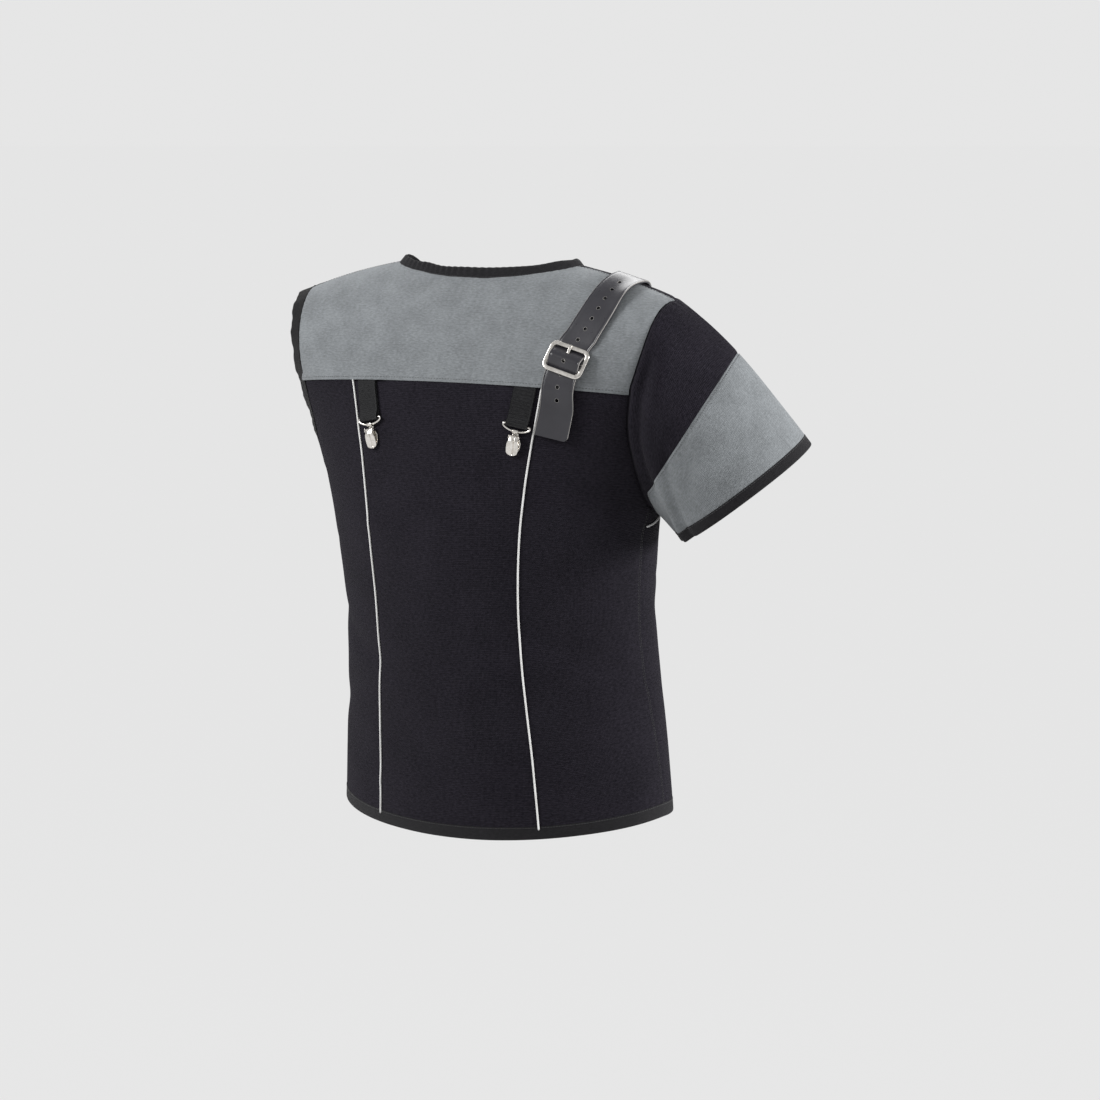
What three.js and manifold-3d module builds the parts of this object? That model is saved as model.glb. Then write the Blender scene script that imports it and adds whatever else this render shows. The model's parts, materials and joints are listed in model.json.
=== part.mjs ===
// One-sleeved shooting jacket, back length 650 mm, held filled out as it is when worn.
// Millimetres. +Z is up, +Y is the back, -X is the wearer's right, the side with the sleeve.
// The origin lies between the two neck points of the shoulder seams, where a wearer carries it.
import * as THREE from "three";
import { mergeVertices } from "three/addons/utils/BufferGeometryUtils.js";
import Module from "manifold-3d";

const wasm = await Module();
wasm.setup();

// Driving dimensions
const SEAM_GAP = 0.3;
const CANVAS = 2;
const YOKE_Z = -135;
const HEM_Z = -650;
const UNDERARM_Z = -268;
const SHOULDER_X = 240.5;
const NECK_X = 117.5;
const RIDGE_RISE = 10.7;
const RIDGE_FALL = 44.7;
const SHOULDER_SHIFT = 2;
const HEM_SIDE_Z = -624;
const HEM_BACK_DIP = 24;
const HEM_BAND = 13;
const NECK_BAND = 11;
const ARMHOLE_BAND = 12;
const CUFF_BAND = 14;
const BAND_THICK = 3.2;
const BAND_SET = 1; // clear of the cloth's edge at its tightest turn
const PIPING = 3.4;
const WEBBING_WIDE = 27;
const WEBBING_THICK = 1.4;
const WEBBING_DROP = 37.5;
const RING_WIRE = 2.4;
const STRAP_WIDE = 38;
const STRAP_THICK = 3;
const STRAP_HOLE = 4.4;
const STRAP_PITCH = 14;
const BUCKLE_WIDE = 48;
const BUCKLE_TALL = 34.5;
const BUCKLE_BAR = 4.5;
const BUCKLE_THICK = 3.6;
const PRONG_WIDE = 3.5;
const BUTTON_SIZE = 20;
const BUTTON_THICK = 3.4;

// The short sleeve ends in a cuff: an ellipse about its middle, square to the sleeve's run.
const CUFF_MIDDLE = new THREE.Vector3(-298.5, -59, -251.5);
const SLEEVE_RUN = new THREE.Vector3(-0.5285, -0.2963, -0.8003).normalize();
const CUFF_TOP_WAY = new THREE.Vector3(-0.6532, -0.4599, 0.6018).projectOnPlane(SLEEVE_RUN).normalize();
const CUFF_BACK_WAY = SLEEVE_RUN.clone().cross(CUFF_TOP_WAY).normalize();
const SLEEVE_SET = 1.3; // how far the sleeve's cloth starts from the armhole's edge
const CUFF_HALF_TALL = 90.5;
const CUFF_HALF_DEEP = 78;
// The grey lower part of the sleeve starts at this slanting plane.
const SLEEVE_SEAM = new THREE.Plane(new THREE.Vector3(-0.7634, -0.3517, -0.5417), -290.9);
// How the sleeve leaves the armhole: a tangent for each quarter of the turn.
const SLEEVE_START = [
  { name: "shoulder", turn: 0, x: -185, y: 0, z: -95 },
  { name: "back", turn: 0.25, x: -70, y: 70, z: -60 },
  { name: "underarm", turn: 0.5, x: -44, y: 4, z: -34 },
  { name: "front", turn: 0.75, x: -60, y: -80, z: -60 },
  { name: "shoulder again", turn: 1, x: -185, y: 0, z: -95 },
];
// Folds of the sleeve: a soft trough or ridge at a distance from the armhole seam.
const SLEEVE_FOLDS = [
  { name: "back of armhole", turn: 0.3, span: 0.13, from: 21, lean: 0, wide: 8, depth: -8 },
  { name: "blade roll", turn: 0.27, span: 0.12, from: 42, lean: 30, wide: 14, depth: 2.5 },
  { name: "front of armhole", turn: 0.72, span: 0.1, from: 24, lean: 0, wide: 9, depth: -6.5 },
  { name: "front drape", turn: 0.66, span: 0.07, from: 60, lean: -120, wide: 12, depth: -3 },
  { name: "underarm pull", turn: 0.44, span: 0.04, from: 40, lean: 150, wide: 11, depth: -3 },
];

// Horizontal sections of the filled-out body, from the hem up to the yoke seam.
const SECTIONS = [
  { name: "hem", z: -650, halfWidth: 209, centreY: -41, backDepth: 128, frontDepth: 122 },
  { name: "hip", z: -560, halfWidth: 203, centreY: -37, backDepth: 131, frontDepth: 122 },
  { name: "waist", z: -400, halfWidth: 192.5, centreY: -25, backDepth: 137, frontDepth: 118 },
  { name: "ribs", z: -310, halfWidth: 200.5, centreY: -15, backDepth: 134, frontDepth: 118 },
  { name: "underarm", z: -245, halfWidth: 212, centreY: -8, backDepth: 126, frontDepth: 114 },
  { name: "yoke seam", z: -135, halfWidth: 236, centreY: 31, backDepth: 76, frontDepth: 118 },
];

// Angles of the long seams from the centre back, in degrees, by height.
const SIDE_SEAM = [
  { z: -650, angle: 92 },
  { z: -560, angle: 89 },
  { z: -400, angle: 83.5 },
  { z: -300, angle: 83.5 },
  { z: -268, angle: 87 },
];
const BACK_PIPING = [
  { z: -650, angle: 30.5 },
  { z: -400, angle: 29 },
  { z: -250, angle: 29.5 },
  { z: -135, angle: 31.3 },
];

// The armhole as one turn: 0 at the shoulder, down the back to the underarm at 0.5, up the front.
const ARMHOLE = [
  { name: "shoulder", turn: 0, angle: 90 },
  { name: "high back", turn: 0.12, angle: 80 },
  { name: "back", turn: 0.2, angle: 75 },
  { name: "blade", turn: 0.26, angle: 71.5 },
  { name: "low blade", turn: 0.31, angle: 68 },
  { name: "yoke corner", turn: 0.3503, angle: 65.5 },
  { name: "below yoke", turn: 0.3764, angle: 66 },
  { name: "back notch", turn: 0.4077, angle: 71 },
  { name: "back turn", turn: 0.4298, angle: 75 },
  { name: "back foot", turn: 0.4497, angle: 78.5 },
  { name: "underarm back", turn: 0.4693, angle: 82.5 },
  { name: "underarm", turn: 0.5, angle: 87 },
  { name: "underarm front", turn: 0.53, angle: 95 },
  { name: "front foot", turn: 0.56, angle: 106 },
  { name: "front turn", turn: 0.6, angle: 114 },
  { name: "front notch", turn: 0.65, angle: 121 },
  { name: "chest", turn: 0.7, angle: 125 },
  { name: "front", turn: 0.78, angle: 123 },
  { name: "high front", turn: 0.86, angle: 114 },
  { name: "near shoulder", turn: 0.93, angle: 101 },
  { name: "shoulder again", turn: 1, angle: 90 },
];

// The largest folds of the body cloth: a soft trough or ridge across the surface.
// Its middle is at turn (angle from the centre back, right side negative) and height z.
const BODY_FOLDS = [
  { name: "left waist", angle: 52, z: -420, lean: 0.5, half: 90, wide: 16, depth: -3.0 },
  { name: "left waist low", angle: 60, z: -500, lean: -0.35, half: 70, wide: 18, depth: -2.4 },
  { name: "right waist", angle: -58, z: -440, lean: 0.4, half: 85, wide: 17, depth: -2.6 },
  { name: "centre back", angle: -4, z: -430, lean: -0.15, half: 120, wide: 26, depth: -2.0 },
  { name: "right front waist", angle: -128, z: -410, lean: 0.45, half: 90, wide: 18, depth: -2.8 },
  { name: "left front waist", angle: 132, z: -440, lean: -0.4, half: 80, wide: 18, depth: -2.6 },
  { name: "left chest", angle: 140, z: -250, lean: 0.7, half: 70, wide: 15, depth: -2.2 },
];

const rad = THREE.MathUtils.degToRad;
const vec = (x, y, z) => new THREE.Vector3(x, y, z);

// Smooth curve through the rows of a table, without overshoot.
function along(rows, from, to, x) {
  const last = rows.length - 1;
  const slope = rows.slice(1).map((row, i) => (row[to] - rows[i][to]) / (row[from] - rows[i][from]));
  const tangent = rows.map((row, i) => {
    if (i === 0) return slope[0];
    if (i === last) return slope[last - 1];
    return slope[i - 1] * slope[i] > 0 ? (slope[i - 1] + slope[i]) / 2 : 0;
  });
  if (x < rows[0][from]) return rows[0][to] + tangent[0] * (x - rows[0][from]);
  if (x > rows[last][from]) return rows[last][to] + tangent[last] * (x - rows[last][from]);
  let i = 0;
  while (i < last - 1 && x >= rows[i + 1][from]) i += 1;
  const step = rows[i + 1][from] - rows[i][from];
  const t = (x - rows[i][from]) / step;
  const start = (1 + 2 * t) * (1 - t) ** 2 * rows[i][to] + t * (1 - t) ** 2 * step * tangent[i];
  const end = t * t * (3 - 2 * t) * rows[i + 1][to] + t * t * (t - 1) * step * tangent[i + 1];
  return start + end;
}

// Cubic between two points with a tangent at each.
function blend(a, tangentA, b, tangentB, t) {
  const point = a.clone().multiplyScalar((1 + 2 * t) * (1 - t) ** 2);
  point.addScaledVector(tangentA, t * (1 - t) ** 2);
  point.addScaledVector(b, t * t * (3 - 2 * t));
  point.addScaledVector(tangentB, t * t * (t - 1));
  return point;
}

// Levels: 0 is the hem section, 1 the yoke seam and 2 the ridge of the shoulders.
const SEAM_CLIMB = 150; // how fast the form climbs above level 1
const levelOf = (z) => (z - HEM_Z) / (YOKE_Z - HEM_Z);
const UNDERARM_LEVEL = levelOf(UNDERARM_Z);

function sectionPoint(z, angle) {
  const centre = along(SECTIONS, "z", "centreY", z);
  const depth = along(SECTIONS, "z", Math.cos(angle) > 0 ? "backDepth" : "frontDepth", z);
  const halfWidth = along(SECTIONS, "z", "halfWidth", z);
  return vec(halfWidth * Math.sin(angle), centre + depth * Math.cos(angle), z);
}

function ridgePoint(angle) {
  const reach = Math.sin(angle);
  return vec(SHOULDER_X * reach, SHOULDER_SHIFT * reach ** 2, RIDGE_RISE - RIDGE_FALL * reach ** 2);
}

function formPoint(level, angle) {
  if (level <= 1) return sectionPoint(HEM_Z + (YOKE_Z - HEM_Z) * level, angle);
  const back = Math.cos(angle) > 0;
  const start = sectionPoint(YOKE_Z, angle);
  const rise = start.clone().sub(sectionPoint(YOKE_Z - 6, angle)).multiplyScalar(SEAM_CLIMB / 6);
  rise.x /= 2;
  const over = back ? vec(0, -120, 12) : vec(0, 125, -12);
  return blend(start, rise, ridgePoint(angle), over, Math.min(level - 1, 1));
}

// The ridge has no width at the shoulder point, so the normal there is taken just beside it.
const TIP = rad(2.5);
function formNormal(level, around) {
  const e = 0.001;
  const low = level > 1.5 ? level - e : level;
  const side = Math.sign(around) || 1;
  const past = Math.abs(around) - Math.PI / 2;
  const nearTip = level > 1.5 && Math.abs(past) < TIP;
  const angle = nearTip ? side * (Math.PI / 2 + (past > 0 ? TIP : -TIP)) : around;
  const up = formPoint(low + e, angle).sub(formPoint(low, angle));
  const round = formPoint(level, angle + e).sub(formPoint(level, angle - e));
  return up.cross(round).normalize();
}

function foldDepth(point, angle) {
  let sum = 0;
  for (const fold of BODY_FOLDS) {
    const side = ((angle - rad(fold.angle) + 3 * Math.PI) % (2 * Math.PI)) - Math.PI;
    const round = side * 160;
    const up = point.z - fold.z;
    const across = up - round * fold.lean;
    const length = round + up * fold.lean;
    sum += fold.depth * Math.exp(-((across / fold.wide) ** 2)) * Math.exp(-((length / fold.half) ** 2));
  }
  return sum;
}

// A point of the body cloth, out from its outer face by the given distance.
function bodyPoint(level, angle, out = 0) {
  const point = formPoint(level, angle);
  return point.addScaledVector(formNormal(level, angle), out + foldDepth(point, angle));
}

const sideAngle = (level) => rad(along(SIDE_SEAM, "z", "angle", HEM_Z + (YOKE_Z - HEM_Z) * level));
const pipingAngle = (level) => rad(along(BACK_PIPING, "z", "angle", HEM_Z + (YOKE_Z - HEM_Z) * level));
const armholeLevel = (turn) => UNDERARM_LEVEL + (2 - UNDERARM_LEVEL) * (0.5 + 0.5 * Math.cos(2 * Math.PI * turn));
const armholeAngle = (turn) => rad(along(ARMHOLE, "turn", "angle", turn));
const YOKE_TURN = Math.acos((2 * (1 - UNDERARM_LEVEL)) / (2 - UNDERARM_LEVEL) - 1) / (2 * Math.PI);

// The neck edge cuts lower at the front than at the back.
const NECK_BACK_CUT = 0.3;
const NECK_FRONT_CUT = 0.78;
function neckLevel(angle) {
  const reach = Math.min((Math.abs(Math.sin(angle)) * SHOULDER_X) / NECK_X, 1);
  return 2 - (Math.cos(angle) > 0 ? NECK_BACK_CUT : NECK_FRONT_CUT) * Math.sqrt(1 - reach * reach);
}

function hemLevel(angle) {
  return levelOf(HEM_SIDE_Z - HEM_BACK_DIP * Math.max(Math.cos(angle), 0) ** 1.5);
}

const group = new THREE.Group();

function finish(colour, roughness, metalness = 0) {
  return { color: colour, roughness, metalness };
}
const BLACK_CANVAS = finish(0x262429, 0.92);
const GREY_CANVAS = finish(0x84888b, 0.95);
const BLACK_BINDING = finish(0x302f31, 0.9);
const WHITE_PIPING = finish(0xf2f2f0, 0.6);
const BLACK_WEBBING = finish(0x353537, 0.85);
const BLACK_LEATHER = finish(0x46464b, 0.55);
const NICKEL = finish(0xd9d6d0, 0.28, 1);
const BLACK_BUTTON = finish(0x1f1f21, 0.45);

function addMesh(name, geometry, looks) {
  const mesh = new THREE.Mesh(geometry, new THREE.MeshStandardMaterial(looks));
  mesh.name = name;
  group.add(mesh);
  return mesh;
}

// The faces of closed rings of section points, swept through their stations.
function sweep(rings, closed) {
  const around = rings[0].length;
  const points = rings.flat();
  const faces = [];
  const count = closed ? rings.length : rings.length - 1;
  for (let i = 0; i < count; i += 1) {
    const next = (i + 1) % rings.length;
    for (let j = 0; j < around; j += 1) {
      const k = (j + 1) % around;
      const [a, b, c, d] = [i * around + j, next * around + j, next * around + k, i * around + k];
      faces.push(a, b, c, a, c, d);
    }
  }
  return { points, faces };
}

function geometryOf(points, faces) {
  const geometry = new THREE.BufferGeometry();
  geometry.setAttribute("position", new THREE.Float32BufferAttribute(points.flatMap((p) => [p.x, p.y, p.z]), 3));
  geometry.setIndex(faces);
  if (signedVolume(points, faces) < 0) {
    for (let i = 0; i < faces.length; i += 3) [faces[i + 1], faces[i + 2]] = [faces[i + 2], faces[i + 1]];
    geometry.setIndex(faces);
  }
  geometry.computeVertexNormals();
  return geometry;
}

function signedVolume(points, faces) {
  let sum = 0;
  for (let i = 0; i < faces.length; i += 3) {
    const [a, b, c] = [points[faces[i]], points[faces[i + 1]], points[faces[i + 2]]];
    sum += a.dot(b.clone().cross(c)) / 6;
  }
  return sum;
}

// A cloth panel: face(i, j, out) gives its point at row i and column j, out from the outer face.
function panel(rows, columns, face, inner = -CANVAS, outer = 0) {
  const points = [];
  for (const out of [outer, inner]) {
    for (let i = 0; i <= rows; i += 1) {
      for (let j = 0; j <= columns; j += 1) points.push(face(i / rows, j / columns, out));
    }
  }
  const wide = columns + 1;
  const sheet = (rows + 1) * wide;
  const at = (i, j) => i * wide + j;
  const faces = [];
  const quad = (a, b, c, d) => faces.push(a, b, c, a, c, d);
  for (let i = 0; i < rows; i += 1) {
    for (let j = 0; j < columns; j += 1) {
      quad(at(i, j), at(i, j + 1), at(i + 1, j + 1), at(i + 1, j));
      quad(sheet + at(i, j), sheet + at(i + 1, j), sheet + at(i + 1, j + 1), sheet + at(i, j + 1));
    }
  }
  for (let j = 0; j < columns; j += 1) {
    quad(at(0, j + 1), at(0, j), sheet + at(0, j), sheet + at(0, j + 1));
    quad(at(rows, j), at(rows, j + 1), sheet + at(rows, j + 1), sheet + at(rows, j));
  }
  for (let i = 0; i < rows; i += 1) {
    quad(at(i, 0), at(i + 1, 0), sheet + at(i + 1, 0), sheet + at(i, 0));
    quad(at(i + 1, columns), at(i, columns), sheet + at(i, columns), sheet + at(i + 1, columns));
  }
  return geometryOf(points, faces);
}

// A closed band or bead: section(t) gives the ring of points at station t round a closed edge.
function loopSolid(stations, section) {
  const rings = Array.from({ length: stations }, (_, i) => section(i / stations));
  const { points, faces } = sweep(rings, true);
  return geometryOf(points, faces);
}

// The same along an open path, closed by flat ends.
function openSolid(stations, section) {
  const rings = Array.from({ length: stations + 1 }, (_, i) => section(i / stations));
  const { points, faces } = sweep(rings, false);
  const around = rings[0].length;
  const end = points.length - around;
  for (let j = 1; j < around - 1; j += 1) {
    faces.push(0, j, j + 1);
    faces.push(end, end + j + 1, end + j);
  }
  return geometryOf(points, faces);
}

const HALF_GAP = SEAM_GAP / 2;
const trim = HALF_GAP / 150; // the seam gap as an angle of the body
const levelTrim = HALF_GAP / (YOKE_Z - HEM_Z);
const mix = THREE.MathUtils.lerp;

// The neck edge as one turn: 0 at the centre back, 90 degrees at the wearer's left neck point.
function neckAt(turn) {
  const reach = Math.asin((NECK_X * Math.sin(Math.abs(turn))) / SHOULDER_X);
  return Math.sign(turn) * (Math.abs(turn) > Math.PI / 2 ? Math.PI - reach : reach);
}

const bandClear = (HEM_BAND + SEAM_GAP) / (YOKE_Z - HEM_Z);
const hemEdge = (angle) => hemLevel(angle) + bandClear;

// The yoke's lower edge rises a little towards the centre back.
const YOKE_RISE = 9;
const YOKE_SPREAD = 1.37;
const yokeSeam = (angle) => 1 + (YOKE_RISE / SEAM_CLIMB) * Math.max(Math.cos(angle * YOKE_SPREAD), 0);
const yokeTrim = HALF_GAP / SEAM_CLIMB;
const yokeEdge = (angle) => yokeSeam(angle) - yokeTrim;

// The right front has a chest piece above a piped seam that starts at the side seam.
const CHEST_SEAM = [
  { angle: 80, z: -291 },
  { angle: 90, z: -287.5 },
  { angle: 112, z: -268 },
  { angle: 135, z: -226 },
  { angle: 160, z: -197 },
  { angle: 184, z: -188 },
];
const chestSeam = (angle) => levelOf(along(CHEST_SEAM, "angle", "z", THREE.MathUtils.radToDeg(angle)));
const chestStart = chestSeam(sideAngle(levelOf(-292)));

// Edges of the panels as level and angle: up the side seam, then along the armhole.
const SEAM_ROWS = 11;
function sideSeamRows() {
  const start = hemEdge(sideAngle(0));
  return Array.from({ length: SEAM_ROWS + 1 }, (_, i) => {
    const level = mix(start, chestStart, i / SEAM_ROWS);
    return { level, angle: sideAngle(level) };
  });
}
const armholeRows = (turns) => turns.map((turn) => ({ level: armholeLevel(turn), angle: armholeAngle(turn) }));

// A panel from its outer edge, given as rows, to an inner seam, between a bottom and a top edge.
// side is 1 on the wearer's left and -1 on the right; toEdge is -1 behind the side seam and 1
// before it; lift raises the lapping edge.
function bodyPanel({ side, rows, columns, inner, bottom, top, toEdge, lift }) {
  return panel(rows.length - 1, columns.length - 1, (i, step, out) => {
    const j = columns[Math.round(step * (columns.length - 1))];
    const row = rows[Math.round(i * (rows.length - 1))];
    const share = (row.level - bottom(row.angle)) / (top(row.angle) - bottom(row.angle));
    const kept = THREE.MathUtils.clamp(share, 0, 1);
    const seam = inner(mix(bottom(inner(0.5)), top(inner(0.5)), kept));
    const angle = mix(row.angle + toEdge * trim, seam - toEdge * trim, j);
    return bodyPoint(mix(bottom(angle), top(angle), kept), angle * side, out + (lift ? lift(angle) : 0));
  });
}

const evenColumns = (count) => Array.from({ length: count + 1 }, (_, j) => j / count);

// Back body: a centre panel between the piped seams and a side panel on each side of it.
const BACK_TURNS = [0.5, 0.482, 0.462, 0.44, 0.418, 0.395, 0.372, YOKE_TURN];
const BACK_EDGE = [...sideSeamRows(), ...armholeRows(BACK_TURNS)];
addMesh("back_centre", panel(BACK_EDGE.length - 1, 8, (i, j, out) => {
  const row = BACK_EDGE[Math.round(i * (BACK_EDGE.length - 1))];
  const share = (row.level - hemEdge(row.angle)) / (yokeEdge(row.angle) - hemEdge(row.angle));
  const kept = THREE.MathUtils.clamp(share, 0, 1);
  const seamAngle = pipingAngle(0.5);
  const seam = pipingAngle(mix(hemEdge(seamAngle), yokeEdge(seamAngle), kept)) - trim;
  const angle = seam * (2 * j - 1);
  return bodyPoint(mix(hemEdge(angle), yokeEdge(angle), kept), angle, out);
}), BLACK_CANVAS);
function backSide(side) {
  const shape = { rows: BACK_EDGE, columns: evenColumns(7), inner: pipingAngle, bottom: hemEdge, top: yokeEdge };
  return bodyPanel({ side, toEdge: -1, ...shape });
}
addMesh("back_side_left", backSide(1), BLACK_CANVAS);
addMesh("back_side_right", backSide(-1), BLACK_CANVAS);

// Grey yoke over both shoulder blades, up to the shoulder seams and the back of the neck.
// Its columns are closer at the neck, where their tops follow the neck edge.
const NECK_STEPS = 7;
const SHOULDER_STEPS = 4;
const YOKE_ROWS = 11;
const cutTrim = SEAM_GAP / 130;
const NECK_TURNS = Array.from({ length: NECK_STEPS + 1 }, (_, k) => (k / NECK_STEPS) * (Math.PI / 2));
const NECK_ANGLE = neckAt(Math.PI / 2 - 1e-9);
const QUARTER = [
  ...NECK_TURNS.map((turn) => Math.min(neckAt(turn), NECK_ANGLE)),
  ...evenColumns(SHOULDER_STEPS).slice(1).map((share) => mix(NECK_ANGLE, Math.PI / 2, share)),
].map((angle) => angle / (Math.PI / 2));
const YOKE_COLUMNS = [...QUARTER.slice(1).reverse().map((share) => -share), ...QUARTER];
addMesh("back_yoke", panel(YOKE_ROWS, YOKE_COLUMNS.length - 1, (i, step, out) => {
  const turn = mix(YOKE_TURN, 0, i);
  const share = (Math.max(armholeLevel(turn), 1) - 1) * (1 - cutTrim);
  const angle = (armholeAngle(turn) - trim) * YOKE_COLUMNS[Math.round(step * (YOKE_COLUMNS.length - 1))];
  const low = yokeSeam(angle) + yokeTrim;
  return bodyPoint(low + (neckLevel(angle) - low) * share, angle, out);
}), GREY_CANVAS);

// Fronts: they lap at the centre, the wearer's left over the right, and close with buttons.
const FRONT_TURNS = [0.5, 0.518, 0.538, 0.56, 0.59, 0.62, 0.66, 0.7, 0.74, 0.78, 0.82, 0.86, 0.9, 0.95, 1];
const FRONT_EDGE = [...sideSeamRows(), ...armholeRows(FRONT_TURNS)];
const FRONT_LAP = rad(3.6);
const LAP_LIFT = BAND_THICK + SEAM_GAP;
const lapLift = (angle) => LAP_LIFT * THREE.MathUtils.smoothstep(angle, Math.PI - rad(13), Math.PI - rad(5));
const frontEdge = () => Math.PI + FRONT_LAP;
const LAP_TURN = Math.asin((Math.sin(FRONT_LAP) * SHOULDER_X) / NECK_X);
const FRONT_NECK_TURNS = NECK_TURNS.map((turn) => Math.PI - turn).reverse();
FRONT_NECK_TURNS.push(Math.PI + LAP_TURN);
const FRONT_COLUMNS = [
  ...evenColumns(SHOULDER_STEPS).slice(0, -1).map((share) => mix(Math.PI / 2, Math.PI - NECK_ANGLE, share)),
  ...FRONT_NECK_TURNS.map((turn) => (turn > Math.PI ? frontEdge() : Math.max(neckAt(turn), Math.PI - NECK_ANGLE))),
].map((angle) => (angle - Math.PI / 2) / (frontEdge() - Math.PI / 2));
const neckEdge = (angle) => neckLevel(angle) - cutTrim;
addMesh("left_front", bodyPanel({
  side: 1,
  rows: FRONT_EDGE,
  columns: FRONT_COLUMNS,
  inner: frontEdge,
  bottom: hemEdge,
  top: neckEdge,
  toEdge: 1,
  lift: lapLift,
}), BLACK_CANVAS);
addMesh("right_front_chest", bodyPanel({
  side: -1,
  rows: FRONT_EDGE.slice(SEAM_ROWS),
  columns: FRONT_COLUMNS,
  inner: frontEdge,
  bottom: (angle) => chestSeam(angle) + levelTrim,
  top: neckEdge,
  toEdge: 1,
}), BLACK_CANVAS);
addMesh("right_front_lower", bodyPanel({
  side: -1,
  rows: FRONT_EDGE.slice(0, SEAM_ROWS + 1),
  columns: FRONT_COLUMNS,
  inner: frontEdge,
  bottom: hemEdge,
  top: (angle) => chestSeam(angle) - levelTrim,
  toEdge: 1,
}), BLACK_CANVAS);

// White piping: a covered cord that stands up from each piped seam.
const BEAD_SIDES = 6;
const BEAD_GAP = 0.5; // enough to clear the panels' flats between their rows
function bead(steps, route) {
  return openSolid(steps, (t) => {
    const { level, angle } = route(t);
    const ahead = route(Math.min(t + 0.01, 1));
    const behind = route(Math.max(t - 0.01, 0));
    const middle = bodyPoint(level, angle, BEAD_GAP + PIPING / 2);
    const run = bodyPoint(ahead.level, ahead.angle).sub(bodyPoint(behind.level, behind.angle)).normalize();
    const up = formNormal(level, angle);
    const across = up.clone().cross(run).normalize();
    return Array.from({ length: BEAD_SIDES }, (_, k) => {
      const turn = (2 * Math.PI * k) / BEAD_SIDES;
      return middle.clone()
        .addScaledVector(across, (Math.cos(turn) * PIPING) / 2)
        .addScaledVector(up, (Math.sin(turn) * PIPING) / 2);
    });
  });
}
const PIPING_SHORT = 2.1 / SEAM_CLIMB; // the piping ends this far below the yoke
function backPiping(side) {
  return bead(22, (t) => {
    const level = mix(hemEdge(pipingAngle(0)), yokeSeam(pipingAngle(1)) - PIPING_SHORT, t);
    return { level, angle: pipingAngle(level) * side };
  });
}
addMesh("piping_back_left", backPiping(1), WHITE_PIPING);
addMesh("piping_back_right", backPiping(-1), WHITE_PIPING);
addMesh("piping_front_right", bead(16, (t) => {
  const angle = mix(sideAngle(chestStart) + rad(0.5), Math.PI - rad(16), t);
  return { level: chestSeam(angle), angle: -angle };
}), WHITE_PIPING);

// Edge bands: a folded tape that takes in the cloth's edge and stands out from it.
// edge(t) gives the edge point, the way out of the cloth and the outer face's normal.
const BAND_FOLD = 1; // how far the band's folded edge narrows
function bandSection(edge, t, wide) {
  const { point, away, normal } = edge(t);
  const at = (out, up) => point.clone().addScaledVector(away, out).addScaledVector(normal, up);
  const top = (BAND_THICK - CANVAS) / 2;
  const low = top - BAND_THICK;
  return [
    at(BAND_SET, top),
    at(wide - BAND_FOLD, top),
    at(wide, (top + low) / 2),
    at(wide - BAND_FOLD, low),
    at(BAND_SET, low),
  ];
}

// The way out of the cloth at its edge: across the edge's run, along the cloth.
function edgeFrame(pointAt, normalAt, t, outward, tilt = vec(0, 0, 0)) {
  const e = 0.002;
  const point = pointAt(t);
  const run = pointAt(t + e).sub(pointAt(t - e)).normalize();
  const normal = normalAt(t);
  const away = run.clone().cross(normal).normalize();
  if (away.dot(outward(t)) < 0) away.negate();
  away.add(tilt).normalize();
  const face = run.clone().cross(away).normalize();
  if (face.dot(normal) < 0) face.negate();
  return { point, away, normal: face };
}

// Hem and neck bands run from the right front's edge, round the back, to the left front's edge.
function lappedBand(stops, placeAt, wide, outward, tilt) {
  const last = stops.length - 1;
  const lerpStop = (t) => {
    const k = Math.min(Math.floor(t * last), last - 1);
    return mix(stops[k], stops[k + 1], t * last - k);
  };
  const pointAt = (t) => {
    const { level, angle } = placeAt(lerpStop(t));
    return bodyPoint(level, angle, lapLift(angle));
  };
  const normalAt = (t) => {
    const { level, angle } = placeAt(lerpStop(t));
    return formNormal(Math.min(level, 1.999), angle);
  };
  return openSolid(last, (t) => {
    const inside = THREE.MathUtils.clamp(t, 0.002, 0.998);
    const frame = edgeFrame(pointAt, normalAt, inside, outward, tilt);
    frame.point = pointAt(t);
    return bandSection(() => frame, t, wide);
  });
}
const HEM_STOPS = evenColumns(48).map((t) => mix(-frontEdge(), frontEdge(), t));
addMesh("hem_binding", lappedBand(
  HEM_STOPS,
  (angle) => ({ level: hemEdge(angle), angle }),
  HEM_BAND,
  () => vec(0, 0, -1),
), BLACK_BINDING);
const LEFT_NECK = [...NECK_TURNS, ...FRONT_NECK_TURNS.slice(1)];
const NECK_STOPS = [...LEFT_NECK.slice(1).reverse().map((turn) => -turn), ...LEFT_NECK];
addMesh("neck_binding", lappedBand(
  NECK_STOPS,
  (turn) => {
    const angle = neckAt(turn);
    return { level: neckEdge(angle), angle };
  },
  NECK_BAND,
  () => vec(0, 0, 1),
  vec(0, 0, 0.9),
), BLACK_BINDING);

// The stations round an armhole are those of the panels that meet there.
const ARMHOLE_TURNS = [
  ...evenColumns(YOKE_ROWS).map((i) => mix(0, YOKE_TURN, i)),
  ...BACK_TURNS.slice(1, -1).reverse(),
  ...FRONT_TURNS.slice(0, -1),
];
const ARMHOLE_MIDDLE = vec(365, 0, -150); // well outside the opening, so every edge faces it
const wrap = (turn) => ((turn % 1) + 1) % 1;
function armholeEdge(side) {
  return {
    pointAt: (turn) => bodyPoint(armholeLevel(turn), armholeAngle(wrap(turn)) * side),
    normalAt: (turn) => formNormal(Math.min(armholeLevel(turn), 1.999), armholeAngle(wrap(turn)) * side),
  };
}
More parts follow.
